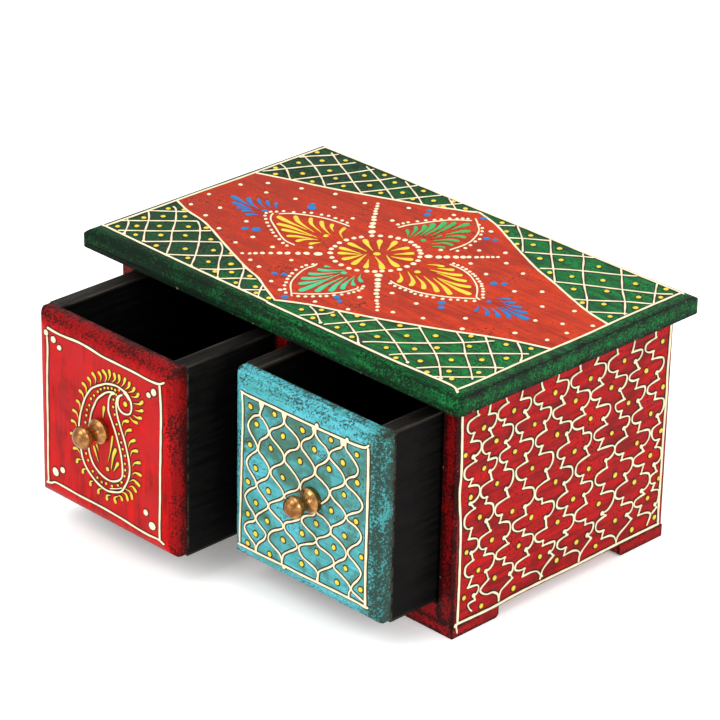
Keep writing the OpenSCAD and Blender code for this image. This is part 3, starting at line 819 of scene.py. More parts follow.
RIGHT_LEAF = dict(
    drops=(((13.7, 8.1), (16.3, 10.1), (19.1, 11.4), 1.8), ((18.5, 8.6), (21.5, 10.1), (23.7, 11.8), 2.6),
           ((17.8, 5.5), (25.4, 8.1), (29.1, 10.5), 2.7), ((21.3, 5.5), (29.8, 6.4), (33.9, 7.9), 2.6),
           ((24.6, 2.3), (33.7, 3.3), (38.5, 5.3), 2.8), ((25.9, 2), (35.9, .7), (42.8, .7), 3.1),
           ((23.9, 1), (32.8, -1.9), (38, -4.5), 2.8), ((20.2, -.3), (28.5, -3.4), (33.3, -6.4), 2.6),
           ((18, -2.3), (24.6, -5.1), (28, -8.2), 2.5), ((13.3, -1.7), (20.7, -6.4), (22.8, -9.7), 2.5),
           ((11.9, -4.7), (16.1, -8), (17.6, -10.8), 2.4)),
    eye=(16, .7),
    edges=([(19.3, 14.7), (25.4, 14.7), (31.1, 13.2), (35.9, 10.7), (40.2, 7.7), (43.7, 4.2), (46.7, .7),
            (49.3, -.1)],
           [(14.8, -12.5), (18, -13.2), (23.7, -13), (29.3, -12.1), (34.6, -9.9), (39.8, -6.9),
            (43.7, -3.8), (47.6, -.6)]),
    beads=((20, 16.2), (22.1, 16.3), (24.6, 16.2), (26.7, 16), (29.2, 15.3), (31.5, 14.7), (33.3, 14),
           (35.7, 12.8), (37.8, 11.6), (39.8, 10.6), (41.3, 9.2), (43.2, 7.8), (44.9, 6.1), (46.8, 4),
           (48.6, 2.1), (48.5, -2.3), (46.2, -4.6), (43.7, -6.2), (41.7, -8), (39.3, -9.7),
           (36.1, -11.4), (33.7, -12.5), (31.7, -13.3), (29.3, -14.1), (27, -13.9), (24.6, -14.5),
           (22, -14.6), (19.3, -14.7), (16.5, -14.3)))
BACK_LEAF = dict(
    drops=(((-2.7, 38.5), (-2.6, 43.2), (-2.2, 47), 3.2), ((-3.9, 28.2), (-5.2, 38.9), (-6.4, 44.1), 2.6),
           ((-6, 26.6), (-7.3, 36.6), (-9.1, 41.2), 3), ((-6.8, 25.3), (-9.1, 33.5), (-11.2, 37), 3),
           ((-7.9, 23), (-10.2, 30.8), (-12.3, 33.5), 2.6), ((-8.5, 21.2), (-11.6, 27.8), (-13.7, 30.1), 2),
           ((-9.1, 21), (-11.8, 23.9), (-13.9, 25.5), 1.9), ((-1, 33.5), (.7, 39.3), (2.7, 42.4), 3),
           ((-1.6, 28), (-1.4, 29.8), (-1.3, 31.5), 1.1), ((.2, 32), (2.8, 35.5), (5.7, 37), 2.6),
           ((-.2, 25.5), (3.2, 30.7), (6.5, 32.6), 2.3), ((1.5, 23), (4.4, 27.4), (7.5, 28.2), 2.2),
           ((3.2, 21.6), (5.3, 23.5), (7.3, 24.1), 2)),
    eye=(-3, 23.3),
    edges=([(-3.9, 53.3), (-1, 51.2), (1.7, 48.9), (4.4, 46.6), (6.7, 43.5), (8.6, 39.7), (10.2, 35.5),
            (10.7, 31.2), (10.5, 27.4), (10.2, 24.1)],
           [(-3.3, 50.8), (-6.8, 47.8), (-9.8, 44.7), (-11.4, 41.6), (-13.3, 38.2), (-15.2, 33.5),
            (-17, 29.7), (-18.1, 24.7)]),
    beads=((1.3, 49.8), (4.3, 48.5), (6.4, 46.2), (8.3, 43.5), (10.9, 40.1), (11.3, 37.2), (12.5, 33.3),
           (13, 29.9), (12.8, 25.8), (-5.6, 50.9), (-7.2, 49.5), (-8.5, 47.8), (-10.6, 45.8),
           (-12.3, 42.8), (-13.7, 40.5), (-15.6, 37.6), (-17.1, 34.5), (-18.9, 31.2), (-19.5, 29.1),
           (-20.1, 26.8)))
FRONT_LEAF = dict(
    drops=(((-8.7, -20.4), (-9.8, -20.8), (-10.8, -21.3), 2.2),
           ((-3.3, -18.1), (-7.5, -23.3), (-10.4, -25.2), 2.5),
           ((-3.5, -21.2), (-7.2, -27.7), (-10, -30.4), 2.6), ((-2.9, -25), (-6, -31.9), (-8.7, -35), 3.3),
           ((-2.4, -30), (-4.1, -35), (-6, -39.2), 2.8), ((-2.3, -21.9), (-1.6, -36.9), (-1.5, -43.1), 3.2),
           ((.5, -23.3), (1.5, -33.8), (3, -39.2), 2.9), ((1.6, -21.9), (3.8, -30), (6.1, -35), 2.9),
           ((2.7, -19.2), (5.5, -27.3), (7.7, -30.6), 2.6), ((4, -20.8), (5.9, -23.5), (8.2, -25.4), 2.2),
           ((3.2, -16.7), (5.5, -19.6), (8, -21), 2.2)),
    eye=(-2, -20.4),
    edges=([(-14.8, -21.9), (-14.1, -24.2), (-14.5, -27.3), (-13.7, -31.5), (-11.8, -36.2), (-9.5, -40.4),
            (-6.8, -43.5), (-3.3, -46.5), (-.2, -49.2)],
           [(10.3, -25.2), (11.3, -26.5), (10.9, -30), (9.6, -33.8), (7.1, -38.1), (3.6, -42.3),
            (.5, -45.4), (-1.8, -47.3)]),
    beads=((-15.4, -23.5), (-16.5, -26), (-16.5, -28.3), (-16.1, -31.7), (-14.8, -35), (-13.7, -37.4),
           (-12.3, -39.8), (-10.4, -42.3), (-8.9, -44.6), (-6.4, -46.9), (-7.3, -48.6), (-3.9, -48.7),
           (11.5, -23.5), (12.6, -25.4), (13, -27.5), (12.8, -29.8), (12.3, -31.9), (11.3, -34.6),
           (9.8, -37.1), (8.5, -39.7), (7, -41.5), (5.3, -43.6), (3.5, -45.7), (1.5, -47.5)))
BLUE_DROPS = (
    ((-71, -3), (-77.5, -2.4), (-83.1, -1.7), 3), ((-66.9, -2.7), (-73.3, -1.1), (-77.7, 1.6), 2.6),
    ((-66.9, .1), (-71.3, 1.7), (-74.3, 3.8), 2), ((-65.2, 1.6), (-68.3, 3.3), (-70.6, 5), 2.2),
    ((-63, 2.5), (-65, 4.3), (-66.9, 6.3), 2), ((-69, -4.9), (-74.2, -5), (-78.3, -5.6), 2.8),
    ((-67.9, -5.5), (-71.7, -6), (-73.8, -7.7), 2.5), ((-65.8, -6.1), (-68.3, -6.8), (-70.1, -8.5), 2.5),
    ((-62.9, -6.8), (-64.8, -7.8), (-66.5, -9.7), 2.4), ((52.5, 5.5), (54.7, 7.2), (56.3, 8.3), 2.1),
    ((54.7, 4.3), (58, 6), (59.8, 7.2), 2.1), ((57.2, 3.8), (61.7, 4.8), (64, 6), 2.3),
    ((59.3, 2.3), (65.3, 3), (68.2, 4.2), 2.4), ((58.3, 1), (67.7, .4), (72.3, .5), 3.3),
    ((57.2, -.2), (63.7, -1.3), (67, -3.3), 2.6), ((56.5, -2.3), (61, -3.7), (63.7, -5.7), 2.5),
    ((53.7, -3.7), (58.2, -5.5), (59.8, -7.7), 2.4), ((52.3, -4.2), (53.8, -6.3), (54.8, -8.3), 2),
)
# Blue dots are (u, v, radius).
BLUE_DOTS = (
    (-64.5, -2.2, 1.2), (52.5, 1.2, 1.1), (-54.4, 13.5, 2), (-56.5, 15.9, 1.4), (-53.8, -16.8, 2),
    (-57.3, -19.5, 1.5), (42.7, 14.2, 1.7), (45.7, 16.8, 1.4), (41.4, -12.4, 1.7), (44.2, -15.6, 1.4),
    (-21.3, 45.4, 1.3), (-19.1, 42, 1.5), (12.3, 42.4, 1.5), (15.5, 43.9, 1.2), (-1.8, 55.7, 1.5),
    (-16.2, -37.8, 1.5), (-19.2, -39.9, 1.3), (11.7, -37.5, 1.5), (15, -39.3, 1.2), (-1.5, -51.5, 1.6),
)
LOOSE_DOTS = (
    (-83.8, 17.8), (-77.3, 10.8), (-65, 14.9), (-48.8, 20.3), (-36.2, 18.1), (-90, 8.7), (-91.3, -7),
    (-78.5, -12.9), (-61.9, -14.4), (-88.6, -19.1), (-76.8, -22.1), (-49.3, -22.8), (-37.4, -23.7),
    (-27.2, -13.2), (-70.9, 23.9), (-57.9, 29.9), (-43.6, 32.1), (-28.6, 41.4), (-24.3, 27.9),
    (-11.9, 49.5), (-64.1, -26.8), (-50, -31.2), (-34.4, -38.1), (-27.6, -40), (-23.7, -26.9),
    (-15, -45.6), (-7.1, -48.5), (24.3, 21), (34.9, 18.3), (23, -19.9), (35.5, -19.8), (7.9, 21.7),
    (52.7, 14.8), (68.8, 12.6), (75.3, 1.8), (77.5, -11.5), (56.7, -15.7), (79.5, 18.4), (62.1, -23.1),
    (46.1, -27.1), (35, -31.5), (17.5, -31.4), (22.1, -41.9), (9.1, -46.2), (89.4, -7.2), (8.8, 48.6),
    (26.4, 38), (18.1, 32.2), (33.2, 31.2), (44, 28.9), (59.9, 22.2), (92.6, 13.9), (84, 7), (90.3, 2.3),
)


def leaf(lines, whites, petals, parts):
    """Pointed leaf: a fan of drops that spring from an eye, an open outline and beads outside it."""
    petals.drops(parts["drops"])
    petals.dot(*parts["eye"], LEAF_EYE)
    lines.strokes(parts["edges"], 0.7, LEAF_LINE)
    whites.dots(parts["beads"], BEAD)


def field_outline():
    """The red field's outline, counter-clockwise, a little inside the cream lines' middles."""
    lower_left, lower_right, upper_left, upper_right = (smooth(line, 2.0) for line in TOP_FIELD)
    left = [(max(u, FIELD_LEFT), v) for u, v in lower_left]
    return left + lower_right[1:] + list(reversed(upper_right)) + list(reversed(upper_left))[1:]


TOP_PAINT = ("case", "green_painted_wood")


def corner_nets(face, grime_and_shade):
    """A net in each of the green corners, with a dot in each mesh."""
    lines, dots = Relief(face, 11), Relief(face, 12)
    for points in TOP_NET:
        lines.stroke(smooth(points, 0.9), NET_LINE, wobble=0.2)
        if points[-1][1] < NET_END_V:
            lines.dot(*points[-1], NET_END)
    dots.dots(TOP_NET_DOTS, NET_DOT)
    lines.piece("top_net_lines", *TOP_PAINT, raised_paint("cream_on_green", CREAM, grime_and_shade))
    dots.piece("top_net_dots", *TOP_PAINT, raised_paint("yellow_on_green", YELLOW, grime_and_shade))


def border_lines(face, grime_and_shade):
    """The frame along the board's edges and the outline of the red field."""
    edge = Relief(face, 13, height=0.5)
    edge.strokes(TOP_FRAME + TOP_FIELD, 1.2, BORDER_LINE)
    edge.piece("top_border_lines", *TOP_PAINT, raised_paint("cream_border", CREAM, grime_and_shade))


def field_ornament(face, grime_and_shade):
    """Rosette, diagonal rows of dots, four leaves, two blue sprays and loose dots."""
    whites, lines = Relief(face, 14), Relief(face, 15)
    yellows, greens, mints, blues = (Relief(face, seed) for seed in (16, 17, 18, 19))
    yellows.drops(ROSETTE_DROPS)
    yellows.dot(*ROSETTE_EYE)
    whites.dots(ROSETTE_RING, RING_DOT)
    whites.dots(ROSETTE_CORNERS, CORNER_DOT)
    for row in DOT_ROWS:
        for k, (u, v) in enumerate(row):
            whites.dot(u, v, lerp(*ROW_DOTS, k / (len(row) - 1)))
    leaf(lines, whites, yellows, LEFT_LEAF)
    leaf(lines, whites, yellows, RIGHT_LEAF)
    leaf(lines, whites, greens, BACK_LEAF)
    leaf(lines, whites, mints, FRONT_LEAF)
    blues.drops(BLUE_DROPS)
    blues.sized_dots(BLUE_DOTS)
    whites.dots(LOOSE_DOTS, LOOSE_DOT)
    cream = raised_paint("cream_on_red_field", CREAM, grime_and_shade)
    lines.piece("top_leaf_lines", *TOP_PAINT, cream)
    whites.piece("top_white_dots", *TOP_PAINT, cream)
    for relief, name, material, paint in (
            (yellows, "top_yellow_petals", "yellow_on_red_field", YELLOW),
            (greens, "top_green_petals", "leaf_green_paint", LEAF_GREEN),
            (mints, "top_mint_petals", "mint_paint", MINT),
            (blues, "top_blue_sprays", "blue_paint", BLUE)):
        relief.piece(name, *TOP_PAINT, raised_paint(material, paint, grime_and_shade))


def top_ornament(face, red_field):
    paint_layer("top_red_field", face, field_outline(), FIELD_THICK, *TOP_PAINT, red_field)
    corner_nets(face, GREEN_GRIME_AND_SHADE)
    border_lines(face, GREEN_GRIME_AND_SHADE)
    field_ornament(face, FIELD_GRIME_AND_SHADE)


# Ornament of the side panels, u back from the case's front edges and v up from the table.
SIDE_TOP = 98.4
LATTICE_LINE, BARB_LINE, SIDE_LINE, FOOT_LINE = 0.82, 1.05, 1.1, 0.8
LATTICE_DOT, LOBE_DOT = 1.08, 0.98
# The blob in the border's lower front corner, and the paint that ran down from it onto the foot.
CORNER_BLOB = (1.8, 5.3, 0.95)
FOOT_RUN = [(1.9, 5.2), (2.3, 3.4), (2.6, 1.8)]
# How far, in millimetres, a barb starts before its corner, and how far it reaches past a lobe's
# corner and past the last one.
BARB_BACK, BARB, LAST_BARB = 0.9, 0.75, 0.6
# A strand is its top, its first corner, its lobes (far point and the two corners below it) and its foot.
SIDE_STRANDS = (
    ((9.3, 91), (10, 88.7),
     (((4.4, 85.5), (7.9, 82.3), (6.6, 79.2)), ((12, 75.5), (8.1, 72.6), (9.4, 70.4)),
      ((3.5, 67.3), (7.7, 63.8), (6.5, 61.3)), ((12, 57.3), (7.4, 53.9), (9.6, 51.1)),
      ((4.4, 47), (8.4, 43.4), (7.2, 39.3)), ((12.2, 35.4), (8.8, 33.1), (9.8, 29.6)),
      ((5.6, 26.4), (9.6, 23), (7.7, 19)), ((13.3, 16.9), (11, 14.5), (11.5, 12.4))),
     ((8, 11.9), (8.9, 9.5), (10.2, 8.2))),
    ((16.1, 91), (15.5, 87.2),
     (((19.6, 84.9), (16.2, 81), (17.8, 77.5)), ((12.5, 74.9), (16.3, 71.2), (16, 68.6)),
      ((20.6, 67.3), (17.2, 63.6), (18.3, 59.6)), ((12.4, 57), (15.9, 53.4), (15.5, 51)),
      ((19.8, 46.6), (16.2, 43.6), (18.6, 38.5)), ((12.6, 35.6), (16.4, 32), (15.8, 29.5)),
      ((21.2, 26.4), (17, 22.4), (18.5, 18.4))),
     ((14.4, 15.8), (15.2, 13.9), (17.8, 12.3), (21.1, 11.9), (23.7, 10.2), (24.3, 8.7), (24.5, 6.6))),
    ((24.3, 91), (25.4, 88.4),
     (((20.2, 85), (24, 82.2), (23.4, 80)), ((28.7, 76.8), (25, 72.8), (26.9, 69.9)),
      ((21.9, 67.4), (25.9, 64.4), (25, 61.4)), ((29.8, 57.5), (26.2, 53.1), (27.6, 49.3)),
      ((20.6, 46.3), (24.3, 43.1), (23.5, 40.1)), ((29.3, 35.8), (26.3, 32.8), (28.5, 29.5)),
      ((22, 26.6), (26.9, 24.3), (26.4, 21.6)), ((31.7, 18.6), (30.2, 16.3), (31.5, 13.9))),
     ((28.1, 12.3), (25.6, 11), (24.7, 8.9), (24.5, 6.6))),
    ((33, 91), (32.2, 87.4),
     (((37.8, 85), (34.7, 81.8), (36.7, 78.6)), ((30.1, 77), (33.7, 73.6), (32.9, 70.2)),
      ((39.8, 67.6), (36, 63.8), (37, 60.5)), ((31.1, 58.3), (36.5, 53.5), (35.6, 49.9)),
      ((41.7, 45.4), (37, 41.9), (37.6, 38.2)), ((30.5, 36), (37, 32.3), (36.4, 29.9)),
      ((42.2, 26.9), (38.6, 23.3), (40, 20.4)), ((32.8, 17.5), (38, 15.4), (37.2, 12.4))),
     ((41.9, 12.4), (45.2, 11.5), (46.9, 9.7), (48.4, 8.1))),
    ((43.1, 90.7), (44.3, 87.1),
     (((39.3, 85.2), (43.6, 82), (43.4, 79.8)), ((48.9, 77.5), (45.7, 73.7), (46.7, 70)),
      ((41.1, 66.8), (44.9, 64.2), (43.7, 61.1)), ((51.3, 57.5), (47.7, 53.2), (49.3, 48.8)),
      ((42.2, 45), (45.9, 41.9), (46.4, 39.8)), ((53, 36.7), (48.7, 33), (49.3, 28.4)),
      ((43.1, 26.6), (47.6, 23.6), (47.8, 21.5)), ((54.4, 20.4), (51.8, 17.3), (54, 14.9))),
     ((51.1, 13.2), (48.5, 11.3), (47.6, 9.5), (46.9, 7.3))),
    ((52.4, 91), (51.8, 88.1),
     (((58, 85.3), (54.4, 80.9), (56.1, 77.6)), ((50, 76), (54.7, 72.3), (54.5, 70.3)),
      ((60.7, 67.2), (58.3, 64.5), (59.6, 60.5)), ((53.5, 57.5), (57.4, 54.8), (55.9, 51.2)),
      ((62.6, 46.8), (58.2, 43.9), (60, 39.7)), ((54.5, 36), (60.3, 33.4), (58.9, 30)),
      ((64.6, 26.3), (59.8, 23), (61.2, 21)), ((55.8, 18.5), (60.8, 15.7), (60, 12.8))),
     ((65.1, 12.8), (68.1, 11.5), (68.9, 9.9), (68.5, 6.6))),
    ((64, 91), (64.4, 88.1),
     (((59.2, 85.3), (63.4, 82.1), (63.3, 80)), ((70.3, 76.4), (66.2, 72.3), (67.9, 69.2)),
      ((61.1, 67.4), (67, 64), (67.7, 61.4)), ((72.2, 58.6), (69.2, 55.1), (71.3, 51)),
      ((64.2, 46.8), (68.6, 43.6), (67.8, 40.5)), ((74.2, 37.6), (69.8, 34.9), (71.4, 30.6)),
      ((65, 26.8), (71.1, 24), (71.4, 21.7)), ((76.1, 19.9), (72.9, 16.6), (75.1, 14.4))),
     ((71.8, 12.1), (69.8, 10.4), (68.8, 8.7), (68.5, 6.6))),
    ((73.9, 91), (72.4, 88.3),
     (((78.5, 84.9), (75.2, 81.3), (77.2, 78.4)), ((70.7, 75.7), (75.9, 73.1), (74.6, 70)),
      ((82.2, 67.3), (78.6, 63.8), (80.7, 60.7)), ((73.7, 58), (79, 55.3), (76.7, 51.5)),
      ((86, 48.6), (81.4, 45.4), (82, 42)), ((75.7, 38.8), (81, 35.5), (79.6, 31.8)),
      ((87.2, 28.6), (80.9, 23), (82.7, 21.3)), ((77.4, 18.2), (82, 15.2), (81.2, 12))),
     ((85.9, 11.5), (88.5, 10), (89.6, 8), (89.8, 6.3))),
    ((84.4, 91), (84.8, 88.4),
     (((79.7, 84.8), (85, 81.4), (84.7, 79)), ((90.9, 76.8), (87.2, 73), (90, 68)),
      ((85, 66.9), (88.7, 63.6), (88.1, 60.9)), ((93.7, 58.3), (90.9, 55.6), (92.7, 51.5)),
      ((86.1, 48), (91, 44.9), (90.2, 42.3)), ((97, 39.1), (92.8, 35.3), (94.2, 32)),
      ((87.7, 28.4), (92.4, 25.5), (91.9, 22.6)), ((98.5, 20.2), (95.2, 17.1), (98.1, 14.2))),
     ((94.8, 12.1), (91.4, 10.2), (90, 8.4), (89.8, 6.3))),
    ((94.2, 91), (93.2, 86.5),
     (((98.9, 85.3), (95.3, 82), (97.6, 78.2)), ((92.2, 76), (97.2, 73.9), (96.3, 70.4)),
      ((101.8, 68.6), (98.1, 64.7), (100.3, 60.7)), ((95.1, 57.8), (99.9, 55), (99, 51.1)),
      ((106.1, 48.2), (101.6, 44.1), (102.9, 41.6)), ((97.2, 38.9), (103.4, 35.9), (102.3, 32.2)),
      ((107.6, 28), (103.3, 24.5), (104.8, 22.5)), ((99.2, 20.2), (103.4, 18), (102, 14.4))),
     ((106.3, 13.9), (108.9, 12.8), (109.2, 11.3), (107.4, 7.8))),
    ((106.1, 91), (106.3, 88.3),
     (((100.5, 85.5), (105.3, 83), (105, 79.8)), ((111.8, 76.6), (108.2, 73.1), (109.4, 69.9)),
      ((103.1, 67.3), (108, 64.7), (107.8, 62)), ((113.5, 58.3), (110, 54.4), (111.6, 50.6)),
      ((107.2, 47.9), (111.6, 43.6), (110, 40.9)), ((113.7, 36.7), (109.8, 33.5), (111.4, 30)),
      ((107.7, 27.5), (110.6, 25.2), (109.4, 22.5)), ((113.7, 19.5), (111.8, 15.6), (112.6, 13.9))),
     ((110, 12.1),)),
)
SIDE_DOTS = (
    (13.1, 82.6), (28.8, 84.1), (50.9, 83.9), (3.9, 74.7), (20, 74.9), (40.3, 74.6), (14, 65.9),
    (30.2, 67), (53, 66), (7.4, 56.4), (21.2, 57.1), (40, 56.7), (12.6, 46.4), (53.3, 46.3),
    (70.2, 83.2), (88.9, 84.4), (110.5, 85.4), (62.4, 76.7), (82.2, 75.5), (101.9, 75.9), (71.3, 66.3),
    (92.6, 65.6), (112.3, 65.7), (63.2, 55.5), (83.9, 55.9), (106, 56.5), (112.7, 47), (30.1, 42.4),
    (6.2, 34.2), (19.6, 34.4), (40.7, 36), (12.9, 24.3), (34.4, 26.4), (55.5, 28.6), (5.7, 15.4),
    (21.9, 17.6), (46.5, 17.3), (15.2, 8.4), (32.5, 9.2), (56, 12.1), (71.7, 45.2), (98.9, 46.5),
    (63.7, 35.3), (87.2, 37), (107.2, 38.3), (78.5, 27.9), (98.7, 29.9), (113.1, 26.4), (66.8, 15.8),
    (88.6, 17), (107.1, 20), (78, 10), (98.8, 9.3), (111.9, 9.9),
)
SIDE_BORDER = (
    [(1.5, 98.4), (1.6, 90), (1.9, 79), (2, 68), (1.5, 59), (2.6, 46), (2.8, 33), (2.8, 22), (2.6, 7.3),
     (2.7, 5.8)],
    [(2.4, 5.8), (20, 5.4), (33, 6), (48, 6.1), (70, 5.9), (92, 6.2), (115, 6.1)],
    [(114.9, 98.4), (114.8, 83), (114.4, 72), (114.6, 61), (114.2, 44), (114.2, 30), (114, 15),
     (114.2, 6.4)],
)


def lobe(start, far, end):
    """Path of one lobe, from a corner out round its far point to the next corner."""
    out = [(lerp(start[0], far[0], 0.5), start[1] - 0.15 * (start[1] - far[1])),
           (lerp(start[0], far[0], 0.9), lerp(start[1], far[1], 0.42)), far]
    back = [(lerp(far[0], end[0], 0.12), lerp(far[1], end[1], 0.5)),
            (lerp(far[0], end[0], 0.5), lerp(far[1], end[1], 0.9))]
    return smooth([start] + out + back + [end], 0.5)


def spur(lines, corner, other, size):
    """Short thick barb at a corner, pointing away from other."""
    length = math.dist(corner, other) or 1.0
    away = ((corner[0] - other[0]) / length, (corner[1] - other[1]) / length)
    root = (corner[0] - away[0] * BARB_BACK, corner[1] - away[1] * BARB_BACK)
    tip = (corner[0] + away[0] * size, corner[1] + away[1] * size)
    lines.stroke([root, corner, tip], BARB_LINE, wobble=0.0)


def lattice_strand(lines, top, corner, lobes, foot):
    """One strand down the panel, with barbs or blobs at the corners where it meets its neighbours."""
    first = (top[0] - (corner[0] - top[0]) * 0.6, SIDE_TOP)
    path = smooth([first, top, corner], 0.6)
    for far, upper, lower in lobes:
        turn = lobe(corner, far, upper)
        spur(lines, corner, turn[3], BARB)
        if far[0] > corner[0]:
            lines.dot(upper[0] - 0.1, upper[1], LOBE_DOT, height=0.55)
        else:
            spur(lines, upper, turn[-5], BARB)
        path += turn[1:]
        path += smooth([upper, lower], 0.6)[1:]
        corner = lower
    spur(lines, corner, foot[0], LAST_BARB)
    path += smooth([corner] + list(foot), 0.6)[1:]
    lines.stroke(path, LATTICE_LINE, wobble=0.24)


def side_lattice(face, name, seed):
    """Lobed lattice: strands that meet at their lobes, a dot in each cell, and a border."""
    lines, dots = Relief(face, seed, height=0.5), Relief(face, seed + 1)
    for strand in SIDE_STRANDS:
        lattice_strand(lines, *strand)
    dots.dots(SIDE_DOTS, LATTICE_DOT, height=0.5)
    lines.strokes(SIDE_BORDER, 1.0, SIDE_LINE, height=0.55)
    lines.dot(*CORNER_BLOB)
    lines.stroke(FOOT_RUN, FOOT_LINE, wobble=0.0)
    lines.piece(name + "_lattice", "case", "red_painted_wood",
                raised_paint(name + "_cream", CREAM, SIDE_GRIME_AND_SHADE))
    dots.piece(name + "_dots", "case", "red_painted_wood",
               raised_paint(name + "_yellow", YELLOW, SIDE_GRIME_AND_SHADE))


# Ornament of the left drawer front, u to the right and v up from its middle.
PAISLEY_LINE, PAISLEY_THIN_LINE, PAISLEY_CURL_LINE, LEFT_LINE = 0.82, 0.5, 1.7, 0.86
PAISLEY_DOT = 0.58
FRINGE_DROP = 1.6
CORNER_DOT_HEIGHT = 0.7
# The paisley's two eyes, as (u, v, radius), and the thick stroke that its tip curls round.
PAISLEY_EYES = ((13.5, 17.5, 1.1), (3, -13.5, 1.0))
PAISLEY_CURL = [(12.6, 22.3), (14.4, 21.6), (16, 19.9)]
LEFT_BORDER = (
    [(-30.7, 33.5), (-25.3, 33.1), (-19.8, 33.2), (-12.5, 33.6), (-6.2, 33.3), (.6, 32.6), (9.7, 32.5),
     (18.8, 32.4), (27, 32.1), (32, 32.5), (34.6, 33.8)],
    [(-30.7, 30), (-30.5, 24.4), (-31, 15.3), (-31.2, 8), (-31.3, 1.6), (-31.3, -7.5), (-31.5, -16.5),
     (-31.7, -25.6), (-31.6, -31.1), (-32.1, -32.5)],
    [(-32.8, -32.7), (-29.8, -32), (-27.5, -30.9), (-22.1, -30.9), (-13, -31.2), (-1.6, -31.1),
     (9.7, -31.5), (18.8, -32.2), (25.6, -32.5), (31.5, -32.2), (34.2, -33.5)],
    [(32.5, 32.3), (32.9, 26.6), (33.1, 19.8), (32.9, 10.7), (32.7, 1.6), (32.5, -5.2), (32.4, -14.3),
     (32.1, -23.4), (32, -30.2), (32.2, -32.2)],
)
LEFT_BORDER_DOTS = (
    (-31.2, 31.2, 1.3), (-27.1, 29.7, 1.5), (-23.7, 27.5, 1.2), (29.3, 28.1, 1.6), (26.5, 26, 1.2),
    (-27.3, -26.3, 1.7), (-23.1, -24, 1.3), (24.4, -23.6, 1.2), (27.9, -27.9, 1.7),
)
PAISLEY_LINES = (
    [(14.7, 22.3), (12, 22.8), (9.7, 23.2), (7, 23.1), (2.9, 22.1), (.2, 20.7), (-3, 18.9), (-5.7, 16.9),
     (-8, 13.9), (-9.8, 10.7), (-11.2, 7.1), (-12.3, 3.5), (-13, -.6), (-13.1, -6), (-12.1, -11.1),
     (-11.2, -14.3), (-8.9, -17.7), (-5.7, -20.2), (-2.1, -22), (2, -22.8), (5.6, -22.2), (10.2, -20.4),
     (12.5, -17.5), (14.7, -13.4), (15.6, -9.3), (15.2, -5.6), (14, -1.1), (12.5, 3), (10.6, 7.1),
     (9, 11.2), (8.4, 14.8), (8.6, 17.1), (9.3, 18.9), (11.1, 20.5)],
    [(14.7, 22.1), (16.5, 19.8), (17, 17.1), (16.1, 14.6), (13.8, 13.4), (11.3, 13.5), (9.6, 15),
     (9.4, 17.3), (10.3, 19.6), (12, 20.8)],
    [(7.9, 19.8), (5.6, 19.6), (2.9, 18.5), (.2, 16.4), (-2.3, 13.9), (-4.1, 10.7), (-5.7, 7.1),
     (-6.6, 3.5), (-7.1, 1.2), (-7.9, -4), (-7.6, -8.8), (-6.6, -12), (-4.8, -14.7), (-1.6, -16.8),
     (2, -17.9), (5.6, -17.7), (9.3, -15.9), (11.3, -13.4), (11.5, -9.7), (10.9, -5.2), (9.7, -1.1),
     (7.9, 3.5), (5.6, 8), (4, 11.2), (4, 13.9), (4.3, 16.2), (5.6, 18.7), (7.5, 19.6)],
)
PAISLEY_THIN = [(4.3, -21.3), (8.4, -19.7), (11.1, -18.4)]
PAISLEY_DOTS = (
    (10.2, 22.1), (7.9, 21.3), (6, 21.3), (3.9, 20.7), (1.9, 20), (-.2, 18.7), (-1.9, 17.1), (-4.1, 14.7),
    (-5.9, 12.7), (-6.9, 9.6), (-8.3, 7.2), (-8.7, 4.7), (-9.3, 1.6), (-9.9, -2), (-10.1, -5.2),
    (-9.9, -8.6), (-9.2, -11.5), (-8.1, -14), (-5.5, -17.7), (-2.9, -19.4), (-.4, -20.3), (2.1, -20),
    (5.4, -19.8), (8.8, -18.2), (10.9, -16.1), (12.6, -12.8), (13, -10.1), (12.9, -7.5), (13, -4.1),
    (11.8, -1.8), (11, .7), (9.7, 3.8), (8.5, 7.3), (7.5, 11), (6.7, 13.9), (6.9, 17), (8.5, 19.6),
)
